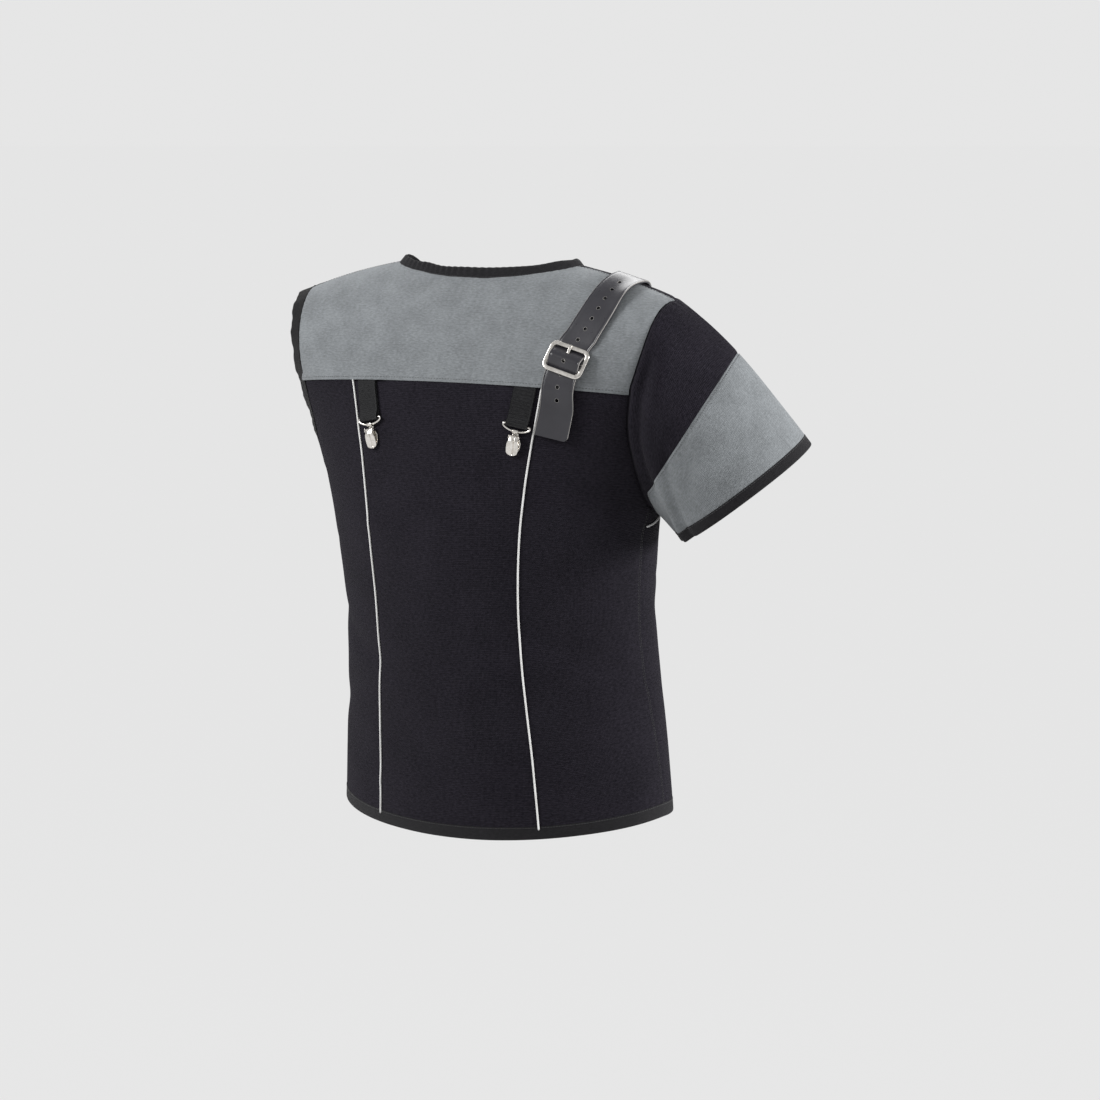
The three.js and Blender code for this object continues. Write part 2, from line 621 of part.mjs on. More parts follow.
// Elastic band round the sleeveless armhole.
addMesh("armhole_binding", loopSolid(ARMHOLE_TURNS.length, (t) => {
  const turn = ARMHOLE_TURNS[Math.round(t * ARMHOLE_TURNS.length)];
  const { pointAt, normalAt } = armholeEdge(1);
  const outward = (at) => ARMHOLE_MIDDLE.clone().sub(pointAt(at));
  return bandSection((at) => edgeFrame(pointAt, normalAt, at, outward), turn, ARMHOLE_BAND);
}), BLACK_BINDING);

// Sleeve: turn runs round it as round the armhole, share from the armhole seam to the cuff's edge.
const ARMHOLE_RIGHT = armholeEdge(-1);
function cuffPoint(turn) {
  const around = 2 * Math.PI * turn;
  return CUFF_MIDDLE.clone()
    .addScaledVector(CUFF_TOP_WAY, CUFF_HALF_TALL * Math.cos(around))
    .addScaledVector(CUFF_BACK_WAY, CUFF_HALF_DEEP * Math.sin(around));
}
const ARMHOLE_MIDDLE_RIGHT = ARMHOLE_MIDDLE.clone().multiply(vec(-1, 1, 1));
const sleeveStarts = new Map();
function sleeveStart(turn) {
  if (!sleeveStarts.has(turn)) {
    const { pointAt, normalAt } = ARMHOLE_RIGHT;
    const outward = (at) => ARMHOLE_MIDDLE_RIGHT.clone().sub(pointAt(at));
    const frame = edgeFrame(pointAt, normalAt, turn, outward);
    sleeveStarts.set(turn, frame.point.addScaledVector(frame.away, SLEEVE_SET));
  }
  return sleeveStarts.get(turn);
}
function sleeveForm(turn, share) {
  const start = sleeveStart(turn);
  const end = cuffPoint(turn);
  const leave = vec(...["x", "y", "z"].map((key) => along(SLEEVE_START, "turn", key, wrap(turn))));
  return blend(start, leave, end, SLEEVE_RUN.clone().multiplyScalar(start.distanceTo(end)), share);
}
function sleeveNormal(turn, share) {
  const e = 0.003;
  const low = Math.min(share, 1 - e);
  const out = sleeveForm(turn, low + e).sub(sleeveForm(turn, low));
  const round = sleeveForm(turn + e, share).sub(sleeveForm(turn - e, share));
  const normal = round.cross(out).normalize();
  const seam = ARMHOLE_RIGHT.normalAt(turn).add(normal).normalize();
  const along6 = sleeveForm(turn, share).distanceTo(sleeveForm(turn, 0)) / 6;
  return seam.lerp(normal, THREE.MathUtils.smoothstep(along6, 0, 1)).normalize();
}
function sleevePoint(turn, share, out = 0) {
  const point = sleeveForm(turn, share);
  const far = point.distanceTo(sleeveForm(turn, 0));
  let fold = 0;
  for (const row of SLEEVE_FOLDS) {
    const away = turn - row.turn;
    const line = far - row.from - away * row.lean;
    fold += row.depth * Math.exp(-((away / row.span) ** 4)) * Math.exp(-((line / row.wide) ** 2));
  }
  const held = THREE.MathUtils.smoothstep(far, 2, 12);
  return point.addScaledVector(sleeveNormal(turn, share), out + fold * held);
}
// The share of the sleeve at a distance from one of its ends, or where the slanting seam crosses.
function sleeveShare(turn, test) {
  let [low, high] = [0, 1];
  for (let k = 0; k < 30; k += 1) {
    const middle = (low + high) / 2;
    if (test(sleeveForm(turn, middle))) low = middle;
    else high = middle;
  }
  return low;
}
const BLACK_LEAST = 9; // the black part's width where it runs out under the arm
const cuffCloth = (turn) => sleeveShare(turn, (p) => p.distanceTo(cuffPoint(turn)) > CUFF_BAND);
function slantShare(turn, shift) {
  const least = sleeveShare(turn, (p) => p.distanceTo(sleeveForm(turn, 0)) < BLACK_LEAST + shift);
  return Math.max(least, sleeveShare(turn, (p) => SLEEVE_SEAM.distanceToPoint(p) < shift));
}
// faces gives the wall's two faces in order, so that both walls of the slanting seam split alike.
function sleevePart(lengthRows, fromShare, toShare, faces) {
  return loopSolid(ARMHOLE_TURNS.length, (t) => {
    const turn = ARMHOLE_TURNS[Math.round(t * ARMHOLE_TURNS.length)];
    const shares = evenColumns(lengthRows).map((k) => mix(fromShare(turn), toShare(turn), k));
    return [
      ...shares.map((share) => sleevePoint(turn, share, faces[0])),
      ...shares.reverse().map((share) => sleevePoint(turn, share, faces[1])),
    ];
  });
}
const upperEnd = (turn) => slantShare(turn, -HALF_GAP);
const lowerStart = (turn) => slantShare(turn, HALF_GAP);
addMesh("sleeve_upper", sleevePart(7, () => 0, upperEnd, [0, -CANVAS]), BLACK_CANVAS);
addMesh("sleeve_lower", sleevePart(5, lowerStart, cuffCloth, [-CANVAS, 0]), GREY_CANVAS);
addMesh("sleeve_binding", loopSolid(ARMHOLE_TURNS.length, (t) => {
  const turn = ARMHOLE_TURNS[Math.round(t * ARMHOLE_TURNS.length)];
  const edge = {
    pointAt: (at) => sleevePoint(at, cuffCloth(at)),
    normalAt: (at) => sleeveNormal(at, cuffCloth(at)),
  };
  return bandSection((at) => edgeFrame(edge.pointAt, edge.normalAt, at, () => SLEEVE_RUN), turn, CUFF_BAND);
}), BLACK_BINDING);

// Solids that are cut or joined, and back to a mesh's geometry.
function solidOf(geometry, matrix = new THREE.Matrix4()) {
  const bare = geometry.index ? geometry.toNonIndexed() : geometry.clone();
  bare.deleteAttribute("normal");
  bare.deleteAttribute("uv");
  bare.applyMatrix4(matrix);
  const merged = mergeVertices(bare, 1e-4);
  return new wasm.Manifold(new wasm.Mesh({
    numProp: 3,
    vertProperties: merged.attributes.position.array,
    triVerts: new Uint32Array(merged.index.array),
  }));
}
function fromSolid(solid) {
  const mesh = solid.getMesh();
  const geometry = new THREE.BufferGeometry();
  geometry.setAttribute("position", new THREE.BufferAttribute(new Float32Array(mesh.vertProperties), 3));
  geometry.setIndex([...mesh.triVerts]);
  geometry.computeVertexNormals();
  return geometry;
}
// The place of a local solid: x across, y up the garment, z out of the cloth.
function matrixOf({ across, up, out, origin }) {
  return new THREE.Matrix4().makeBasis(across, up, out).setPosition(origin);
}
const moved = (solid, frame) => solid.transform(matrixOf(frame).elements);
const placed = (solid, frame) => fromSolid(moved(solid, frame));
const boxBetween = (low, high) => {
  const size = high.clone().sub(low);
  const middle = high.clone().add(low).multiplyScalar(0.5);
  return solidOf(new THREE.BoxGeometry(size.x, size.y, size.z).translate(middle.x, middle.y, middle.z));
};
// A round bar along x at a height up and out.
function barAcross(radius, from, to, up, out, sides = 16) {
  const bar = new THREE.CylinderGeometry(radius, radius, to - from, sides);
  bar.rotateZ(Math.PI / 2).translate((from + to) / 2, up, out);
  return solidOf(bar);
}
// A profile drawn in up and out, extruded across.
const PROFILE_TURN = new THREE.Matrix4().makeBasis(vec(0, 1, 0), vec(0, 0, 1), vec(1, 0, 0));
function extrudeAcross(shape, wide) {
  const solid = new THREE.ExtrudeGeometry(shape, { depth: wide, bevelEnabled: false, curveSegments: 8 });
  return solidOf(solid.translate(0, 0, -wide / 2), PROFILE_TURN);
}

// Two webbing loops hang from under the yoke; each carries a wire ring and a spring clip.
const LOOPS = [
  { side: "left", topAngle: 25.3, lowAngle: 24.6 },
  { side: "right", topAngle: -26.1, lowAngle: -25.2 },
];
const LOOP_CLEAR = 0.95;
const WEBBING_TOP = 6.4; // the webbing reaches this far above level 1, up to the yoke's edge
const WIRE_GAP = 0.3;
const BAR_OUT = RING_WIRE / 2 + WIRE_GAP + WEBBING_THICK; // the ring's bar, out from the webbing's back
const RING_PATH = [
  [-13.6, 0], [-6, 0], [6, 0], [13.6, 0], [15.3, -0.5], [16, -1.9], [14.4, -4], [9.4, -6.2],
  [5.4, -7.2], [0, -7.5], [-5.4, -7.2], [-9.4, -6.2], [-14.4, -4], [-16, -1.9], [-15.3, -0.5],
];
const CLIP_DROP = 7.45; // the clip's curl below the ring's bar
const CLIP_CURL = 2.5;
const CLIP_PLATE = 1.1;
const CLIP_OUTLINE = [
  [3.4, 1], [3.4, -2.5], [7.2, -4.6], [8, -10], [8, -18], [7, -23], [3.6, -26], [0, -26.6],
  [-3.6, -26], [-7, -23], [-8, -18], [-8, -10], [-7.2, -4.6], [-3.4, -2.5], [-3.4, 1],
];
const PIN_DROP = 6.4;
const PIN_OUT = 4.6;
const PIN_RADIUS = 0.8;
const LEVER_LONG = 20.8;
const LEVER_WIDTHS = [
  { share: 0, half: 5 },
  { share: 0.12, half: 5.1 },
  { share: 0.34, half: 7 },
  { share: 0.6, half: 7.4 },
  { share: 0.86, half: 6.2 },
  { share: 1, half: 3.6 },
];
function loopFrame({ topAngle, lowAngle }) {
  const top = bodyPoint(1 - levelTrim - 0.001, rad(topAngle));
  const low = bodyPoint(levelOf(YOKE_Z - WEBBING_DROP), rad(lowAngle));
  const level = levelOf(YOKE_Z - WEBBING_DROP / 2);
  const middle = bodyPoint(level, rad((topAngle + lowAngle) / 2));
  const up = top.clone().sub(low).normalize();
  const across = up.clone().cross(formNormal(level, rad((topAngle + lowAngle) / 2))).normalize();
  const out = across.clone().cross(up);
  const rise = middle.sub(top).dot(out);
  return { origin: top.addScaledVector(out, rise + LOOP_CLEAR), across, up, out };
}
function webbingLoop() {
  const shape = new THREE.Shape();
  const fold = 11; // the two layers part this far above the ring's bar
  shape.moveTo(WEBBING_TOP, 0);
  shape.lineTo(-WEBBING_DROP, 0);
  shape.absarc(-WEBBING_DROP, BAR_OUT, BAR_OUT, -Math.PI / 2, Math.PI / 2, true);
  shape.lineTo(fold - WEBBING_DROP, 2 * WEBBING_THICK);
  shape.lineTo(WEBBING_TOP, 2 * WEBBING_THICK);
  const eye = new THREE.Path();
  eye.absarc(-WEBBING_DROP, BAR_OUT, BAR_OUT - WEBBING_THICK, 0, 2 * Math.PI, false);
  shape.holes.push(eye);
  return extrudeAcross(shape, WEBBING_WIDE);
}
function wireRing() {
  const path = RING_PATH.map(([x, y]) => vec(x, y - WEBBING_DROP, BAR_OUT));
  const curve = new THREE.CatmullRomCurve3(path, true, "centripetal");
  return solidOf(new THREE.TubeGeometry(curve, 44, RING_WIRE / 2, 8, true));
}
const CLIP_Y = -WEBBING_DROP - CLIP_DROP;
function clipBody() {
  const outline = new THREE.Shape(CLIP_OUTLINE.map(([x, y]) => new THREE.Vector2(x, y)));
  const plate = new THREE.ExtrudeGeometry(outline, { depth: CLIP_PLATE, bevelEnabled: false });
  const curlWide = 6.8;
  const earIn = 5.4;
  const earOut = 6.4;
  const ear = (side) => {
    const [a, b] = side > 0 ? [earIn, earOut] : [-earOut, -earIn];
    return boxBetween(vec(a, -PIN_DROP - 2, 0.2), vec(b, -PIN_DROP + 2, PIN_OUT - BAR_OUT + CLIP_CURL + 1.4));
  };
  const low = BAR_OUT - CLIP_CURL;
  return solidOf(plate)
    .add(ear(1))
    .add(ear(-1))
    .translate([0, CLIP_Y, low])
    .add(barAcross(CLIP_CURL, -curlWide / 2, curlWide / 2, CLIP_Y, BAR_OUT))
    .add(barAcross(PIN_RADIUS, -earOut, earOut, CLIP_Y - PIN_DROP, PIN_OUT, 10))
    .subtract(barAcross(RING_WIRE / 2 + WIRE_GAP, -curlWide, curlWide, CLIP_Y, BAR_OUT));
}
function clipLever() {
  const KNUCKLE = 1.9;
  const knuckle = barAcross(KNUCKLE, -5.1, 5.1, 0, 0, 12);
  const lowOut = -1.5;
  const dome = panel(10, 8, (u, v, out) => {
    const across = 2 * v - 1;
    const half = along(LEVER_WIDTHS, "share", "half", u);
    const crown = 1.1 * (1 - across * across) * Math.min(u / 0.3, 1);
    const groove = 0.6 * Math.exp(-((across / 0.2) ** 2)) * Math.min(u / 0.3, 1);
    const height = mix(KNUCKLE, lowOut, THREE.MathUtils.smoothstep(u, 0, 1)) + crown - groove;
    return vec(half * across, -LEVER_LONG * u, height + out);
  }, -1);
  return solidOf(dome)
    .add(knuckle)
    .subtract(barAcross(PIN_RADIUS + WIRE_GAP, -6, 6, 0, 0, 12))
    .translate([0, CLIP_Y - PIN_DROP, PIN_OUT]);
}
for (const loop of LOOPS) {
  const frame = loopFrame(loop);
  addMesh(`loop_${loop.side}`, placed(webbingLoop(), frame), BLACK_WEBBING);
  addMesh(`ring_${loop.side}`, placed(wireRing(), frame), NICKEL);
  addMesh(`clip_body_${loop.side}`, placed(clipBody(), frame), NICKEL);
  addMesh(`clip_lever_${loop.side}`, placed(clipLever(), frame), NICKEL);
}

// Sling strap over the right shoulder. Its route is a lap over the shoulder, up to 2 on the back
// and beyond 2 on the front, and a lean away from the centre.
const STRAP_ROUTE = [
  { name: "past the tail", lap: 0.86, lean: 36 },
  { name: "tail", lap: 1.009, lean: 38 },
  { name: "buckle", lap: 1.209, lean: 39 },
  { name: "blade", lap: 1.394, lean: 42.5 },
  { name: "high blade", lap: 1.544, lean: 45 },
  { name: "below the ridge", lap: 1.724, lean: 47 },
  { name: "ridge", lap: 2, lean: 49 },
  { name: "high front", lap: 2.25, lean: 47.5 },
  { name: "front", lap: 2.55, lean: 45 },
  { name: "past the front end", lap: 2.9, lean: 42.5 },
];
const BUCKLE_LAP = 1.209;
const STRAP_TAIL = 87;
const STRAP_FRONT = -208;
function routePoint(lap) {
  const lean = rad(along(STRAP_ROUTE, "lap", "lean", lap));
  const place = lap <= 2 ? { level: lap, angle: -lean } : { level: 4 - lap, angle: lean - Math.PI };
  return { ...place, point: bodyPoint(place.level, place.angle) };
}
// The route by length from the buckle, down the back as positive.
const ROUTE_STEPS = 60;
const ROUTE = Array.from({ length: ROUTE_STEPS + 1 }, (_, i) => {
  const lap = mix(STRAP_ROUTE.at(-1).lap, STRAP_ROUTE[0].lap, i / ROUTE_STEPS);
  return { lap, point: routePoint(lap).point, length: 0 };
});
for (let i = 1; i <= ROUTE_STEPS; i += 1) {
  ROUTE[i].length = ROUTE[i - 1].length + ROUTE[i].point.distanceTo(ROUTE[i - 1].point);
}
const BUCKLE_LENGTH = along([...ROUTE].reverse(), "lap", "length", BUCKLE_LAP);
function routeFrame(length) {
  const lap = along(ROUTE, "length", "lap", length + BUCKLE_LENGTH);
  const { level, angle, point } = routePoint(lap);
  const up = routePoint(lap + 0.01).point.sub(routePoint(lap - 0.01).point).normalize();
  const across = up.clone().cross(formNormal(Math.min(level, 1.999), angle)).normalize();
  return { origin: point, across, up, out: across.clone().cross(up) };
}
const BUCKLE_AT = routeFrame(0);
// Where it runs through the buckle the strap lies straight and level across.
function strapFrame(length) {
  const { origin, across, up } = routeFrame(length);
  const held = 1 - THREE.MathUtils.smoothstep(Math.abs(length), 17, 45);
  const aside = origin.clone().sub(BUCKLE_AT.origin).dot(BUCKLE_AT.across);
  origin.addScaledVector(BUCKLE_AT.across, -aside * held);
  across.lerp(BUCKLE_AT.across, held).normalize();
  up.addScaledVector(across, -up.dot(across)).normalize();
  return { origin, across, up, out: across.clone().cross(up) };
}
function strapPoint(length, wide, out) {
  const frame = strapFrame(length);
  return frame.origin.addScaledVector(frame.across, wide).addScaledVector(frame.out, out);
}

// The strap's middle rises over the buckle's bar and the tab, and passes under its two ends.
const STRAP_HEIGHT = [
  { length: -220, height: 2.2 },
  { length: -180, height: 3 },
  { length: -70, height: 3 },
  { length: -30, height: 2.2 },
  { length: -20, height: 1.95 },
  { length: -13, height: 2.3 },
  { length: -3.75, height: 11.6 },
  { length: 0, height: 13.1 },
  { length: 2.94, height: 12.2 },
  { length: 14, height: 5.3 },
  { length: 34, height: 5.4 },
  { length: 47, height: 4.3 },
  { length: 62, height: 4 },
  { length: 90, height: 4.5 },
];
const STRAP_STOPS = [
  ...evenColumns(19).map((t) => mix(STRAP_FRONT, -32, t)),
  -24, -18, -15, -13, -11, -9, -7, -5, -3.4, -1.7, 0, 1.7, 3.4, 5.5, 8, 10.5, 13, 16, 21, 28, 34, 40, 47, 60, 74,
  STRAP_TAIL,
];
const TAIL_CHAMFER = 4;
const strapSheet = panel(STRAP_STOPS.length - 1, 2, (i, j, out) => {
  const length = STRAP_STOPS[Math.round(i * (STRAP_STOPS.length - 1))];
  const height = along(STRAP_HEIGHT, "length", "height", length);
  const slope = (along(STRAP_HEIGHT, "length", "height", length + 0.1) - height) / 0.1;
  const tilt = out / Math.hypot(1, slope);
  return strapPoint(length - slope * tilt, STRAP_WIDE * (j - 0.5), height + tilt);
}, -STRAP_THICK / 2, STRAP_THICK / 2);
const BAR_HIGH = 7.55; // the buckle's centre bar, out from the cloth
const BUCKLE_TILT = -0.103;
const PRONG_EYE = 3.6;
const PRONG_CLEAR = 0.3;
function prong(grow) {
  const shape = new THREE.Shape();
  shape.moveTo(2.4, 8.1 - grow);
  shape.lineTo(17.2 + grow, 8.1 - grow);
  shape.lineTo(17.8 + grow, 8.7);
  shape.lineTo(17 + grow, 9.7 + grow);
  shape.lineTo(2.4, 10.3 + grow);
  return extrudeAcross(shape, PRONG_WIDE + 2 * grow);
}
function strapHole(length) {
  const hole = new THREE.CylinderGeometry(STRAP_HOLE / 2, STRAP_HOLE / 2, 30, 12).rotateX(Math.PI / 2);
  return solidOf(hole, matrixOf(strapFrame(length)));
}
const FIRST_HOLE = 2;
const HOLES = [-8, -7, -6, -5, -4, -3, -2, 0, 1, 2, 3]; // the prong fills the one at -1
let strap = solidOf(strapSheet).subtract(moved(prong(PRONG_CLEAR), BUCKLE_AT));
for (const hole of HOLES) strap = strap.subtract(strapHole(FIRST_HOLE + hole * STRAP_PITCH));
const corner = boxBetween(vec(-TAIL_CHAMFER, -TAIL_CHAMFER, -20), vec(TAIL_CHAMFER, TAIL_CHAMFER, 20))
  .rotate([0, 0, 45])
  .translate([STRAP_WIDE / 2, 0, 0]);
strap = strap.subtract(moved(corner, strapFrame(STRAP_TAIL)));
addMesh("sling_strap", fromSolid(strap), BLACK_LEATHER);

// The tab that holds the buckle: folded round its centre bar, sewn to the yoke under the strap.
const TAB_WIDE = 30;
const TAB_EYE = 3.8;
const TAB_ROWS = [
  { length: 0.5, low: 3.95, high: 4.9 },
  { length: 2.5, low: 3.3, high: 5.3 },
  { length: 4.5, low: 2.2, high: 5.2 },
  { length: 8, low: 1, high: 4.1 },
  { length: 12, low: 0.8, high: 3.4 },
  { length: 17, low: 0.8, high: 3.4 },
  { length: 22, low: 0.8, high: 3.4 },
  { length: 27, low: 0.8, high: 3.4 },
  { length: 32, low: 0.8, high: 3.4 },
];
const tabTail = openSolid(TAB_ROWS.length - 1, (t) => {
  const { length, low, high } = TAB_ROWS[Math.round(t * (TAB_ROWS.length - 1))];
  const half = TAB_WIDE / 2;
  return [[-half, low], [half, low], [half, high], [-half, high]].map(([w, out]) => strapPoint(length, w, out));
});
const slotHalf = PRONG_WIDE / 2 + 0.45;
const BAR_RADIUS = 2;
const BAR_HOLE = BAR_RADIUS + SEAM_GAP;
const tabEye = barAcross(TAB_EYE, -TAB_WIDE / 2, TAB_WIDE / 2, 0, BAR_HIGH, 20);
const tabCuts = barAcross(BAR_HOLE, -TAB_WIDE, TAB_WIDE, 0, BAR_HIGH)
  .add(boxBetween(vec(-slotHalf, -4, 3.4), vec(slotHalf, 4.2, 12)));
const tab = solidOf(tabTail).add(moved(tabEye, BUCKLE_AT)).subtract(moved(tabCuts, BUCKLE_AT));
addMesh("buckle_tab", fromSolid(tab), BLACK_LEATHER);

function roundedRectangle(Path, wide, tall, radius) {
  const [x, y] = [wide / 2 - radius, tall / 2 - radius];
  const path = new Path();
  path.absarc(x, y, radius, 0, Math.PI / 2, false);
  path.absarc(-x, y, radius, Math.PI / 2, Math.PI, false);
  path.absarc(-x, -y, radius, Math.PI, 1.5 * Math.PI, false);
  path.absarc(x, -y, radius, 1.5 * Math.PI, 2 * Math.PI, false);
  return path;
}
const frameShape = roundedRectangle(THREE.Shape, BUCKLE_WIDE, BUCKLE_TALL, 6.5);
frameShape.holes.push(roundedRectangle(THREE.Path, BUCKLE_WIDE - 2 * BUCKLE_BAR, BUCKLE_TALL - 2 * BUCKLE_BAR, 2));
const EDGE = 0.9;
const frameSolid = solidOf(new THREE.ExtrudeGeometry(frameShape, {
  depth: BUCKLE_THICK - 2 * EDGE,
  bevelThickness: EDGE,
  bevelSize: EDGE,
  bevelOffset: -EDGE,
  bevelSegments: 1,
  curveSegments: 4,
}).translate(0, 0, EDGE - BUCKLE_THICK / 2).rotateX(BUCKLE_TILT).translate(0, 0, BAR_HIGH));
const centreBar = barAcross(BAR_RADIUS, -BUCKLE_WIDE / 2 + 2, BUCKLE_WIDE / 2 - 2, 0, BAR_HIGH);
addMesh("buckle_frame", placed(frameSolid.add(centreBar), BUCKLE_AT), NICKEL);
const prongEye = barAcross(PRONG_EYE, -PRONG_WIDE / 2, PRONG_WIDE / 2, 0, BAR_HIGH)
  .add(prong(0))
  .subtract(barAcross(BAR_HOLE, -PRONG_WIDE, PRONG_WIDE, 0, BAR_HIGH));
addMesh("buckle_prong", placed(prongEye, BUCKLE_AT), NICKEL);

// Plain buttons down the centre front, on the wearer's left, which laps over the right.
const BUTTON_HEIGHTS = [-196, -296, -396, -496, -590];
const button = new THREE.LatheGeometry([
  [0, 0], [BUTTON_SIZE / 2 - 1, 0], [BUTTON_SIZE / 2, 1], [BUTTON_SIZE / 2, BUTTON_THICK - 0.6],
  [BUTTON_SIZE / 2 - 1.2, BUTTON_THICK], [BUTTON_SIZE / 2 - 2.6, BUTTON_THICK - 0.8], [0, BUTTON_THICK - 0.8],
].map(([x, y]) => new THREE.Vector2(x, y)), 20).rotateX(Math.PI / 2);
BUTTON_HEIGHTS.forEach((z, index) => {
  const level = levelOf(z);
  const out = formNormal(level, Math.PI);
  const across = vec(0, 0, 1).cross(out).normalize();
  const origin = bodyPoint(level, Math.PI, LAP_LIFT + SEAM_GAP);
  const frame = { origin, across, up: out.clone().cross(across), out };
  addMesh(`button_${index + 1}`, placed(solidOf(button), frame), BLACK_BUTTON);
});

export default group;
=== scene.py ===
import json
import math
from math import pi, radians
import bpy
import numpy as np
from mathutils import Matrix, Vector

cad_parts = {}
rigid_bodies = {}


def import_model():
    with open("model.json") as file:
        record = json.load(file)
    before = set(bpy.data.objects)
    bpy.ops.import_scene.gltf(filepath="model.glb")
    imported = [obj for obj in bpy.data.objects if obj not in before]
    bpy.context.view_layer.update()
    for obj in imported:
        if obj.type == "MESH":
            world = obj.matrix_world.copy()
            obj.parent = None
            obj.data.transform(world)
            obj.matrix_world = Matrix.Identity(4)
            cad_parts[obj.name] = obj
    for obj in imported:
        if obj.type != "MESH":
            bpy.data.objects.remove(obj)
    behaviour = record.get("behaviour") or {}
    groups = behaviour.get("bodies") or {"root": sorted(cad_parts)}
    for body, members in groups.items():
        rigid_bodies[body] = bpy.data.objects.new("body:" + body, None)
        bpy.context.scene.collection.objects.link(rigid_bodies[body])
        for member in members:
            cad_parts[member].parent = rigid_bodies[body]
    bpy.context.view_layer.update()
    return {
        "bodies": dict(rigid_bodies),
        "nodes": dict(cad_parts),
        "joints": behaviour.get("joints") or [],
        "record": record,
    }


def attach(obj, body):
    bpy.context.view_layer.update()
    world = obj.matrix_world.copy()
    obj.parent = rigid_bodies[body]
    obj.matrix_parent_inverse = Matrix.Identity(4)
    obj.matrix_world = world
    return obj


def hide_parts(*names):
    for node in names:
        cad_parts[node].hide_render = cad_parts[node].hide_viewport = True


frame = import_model()

# The studio: a pale floor well below the jacket, which a wearer or a form holds up, a soft pale
# room all round, one broad light from the jacket's left and two weaker ones for its edges.
scene = bpy.context.scene
scene.view_settings.view_transform = "Standard"
scene.view_settings.look = "None"


def set_inputs(node, inputs):
    """Gives each input of a shader node its value, or links it to another node's output."""
    for socket, value in inputs.items():
        if isinstance(value, bpy.types.NodeSocket):
            node.id_data.links.new(value, node.inputs[socket])
        else:
            node.inputs[socket].default_value = value
    return node


def add_node(tree, kind, inputs={}, **settings):
    node = tree.nodes.new("ShaderNode" + kind)
    for name, value in settings.items():
        setattr(node, name, value)
    return set_inputs(node, inputs)


def between(source, low, high):
    inputs = {"Value": source, "To Min": low, "To Max": high}
    return add_node(source.id_data, "MapRange", inputs).outputs["Result"]


def new_finish(name, inputs):
    finish = bpy.data.materials.new(name)
    finish.use_nodes = True
    return finish, set_inputs(finish.node_tree.nodes["Principled BSDF"], inputs)


scene.world = bpy.data.worlds.new("studio room")
scene.world.use_nodes = True
tree = scene.world.node_tree
brightness = between(add_node(tree, "LightPath").outputs["Is Camera Ray"], 0.56, 1.0)
set_inputs(tree.nodes["Background"], {"Color": (0.79, 0.79, 0.79, 1), "Strength": brightness})
bpy.ops.mesh.primitive_plane_add(size=600, location=(0, 0, -1.5))
floor = bpy.context.object
floor.name = "studio_floor"
floor_paint, _ = new_finish("pale floor", {
    "Base Color": (0.02, 0.02, 0.02, 1), "Roughness": 1.0, "Specular IOR Level": 0.0,
    "Emission Color": (1, 1, 1, 1), "Emission Strength": 0.775,
})
floor.data.materials.append(floor_paint)
floor.visible_diffuse = False


def studio_light(name, place, aim, size, power):
    lamp = bpy.data.lights.new(name, "AREA")
    lamp.shape = "DISK"
    lamp.size = size
    lamp.energy = power
    holder = bpy.data.objects.new(name, lamp)
    scene.collection.objects.link(holder)
    holder.location = place
    holder.rotation_euler = (Vector(aim) - Vector(place)).to_track_quat("-Z", "Y").to_euler()


studio_light("key light", (2.6, 3.0, 2.1), (0, 0, -0.3), 2.0, 150)
studio_light("edge light", (-3.2, -1.0, 0.6), (-0.1, 0, -0.35), 1.4, 110)
studio_light("ridge light", (1.3, -1.9, 1.7), (-0.1, 0, -0.1), 2.2, 46)

camera_data = bpy.data.cameras.new("studio camera")
camera_data.lens = 129.6
camera_data.sensor_width = 36
camera_data.clip_end = 100
camera = bpy.data.objects.new("studio camera", camera_data)
scene.collection.objects.link(camera)
camera.location = (-2.309, 3.863, 0.2087)
turn, dip = radians(210), radians(-6.8)
sight = Vector((-math.sin(turn) * math.cos(dip), math.cos(turn) * math.cos(dip), math.sin(dip)))
camera.rotation_euler = sight.to_track_quat("-Z", "Y").to_euler()
scene.camera = camera

# Back centre panel: heavy black cotton canvas with a fine cross rib, cut with a slight waist.
# All body panels follow one shape, the jacket filled out as it is worn, in millimetres: level 0
# is the hem, 1 the yoke seam, 2 the shoulder ridge; the angle turns from the centre back.
HEM_Z, YOKE_Z, UNDERARM_Z = -650.0, -135.0, -268.0
BODY_TALL = YOKE_Z - HEM_Z
SECTION_Z = (-650, -560, -400, -310, -245, -135)
HALF_WIDTH = (209, 203, 192.5, 200.5, 212, 236)
CENTRE_Y = (-41, -37, -25, -15, -8, 31)
BACK_DEPTH = (128, 131, 137, 134, 126, 76)
FRONT_DEPTH = (122, 122, 118, 118, 114, 118)
SHOULDER_X, NECK_X = 240.5, 117.5
CANVAS, CLIMB = 2.0, 150.0
BACK_ROUND, SIDE_ROUND, FRONT_ROUND = 165, 195, 118  # mm of cloth to a radian


def matched(*values):
    return np.broadcast_arrays(*(np.asarray(value, float) for value in values))


def eased(t):
    t = np.clip(t, 0, 1)
    return t * t * (3 - 2 * t)


def hermite(a, leave, b, arrive, t):
    """A smooth run from a to b that leaves and arrives at the given rates."""
    start = (1 + 2 * t) * (1 - t) ** 2 * a + t * (1 - t) ** 2 * leave
    return start + t * t * (3 - 2 * t) * b + t * t * (t - 1) * arrive


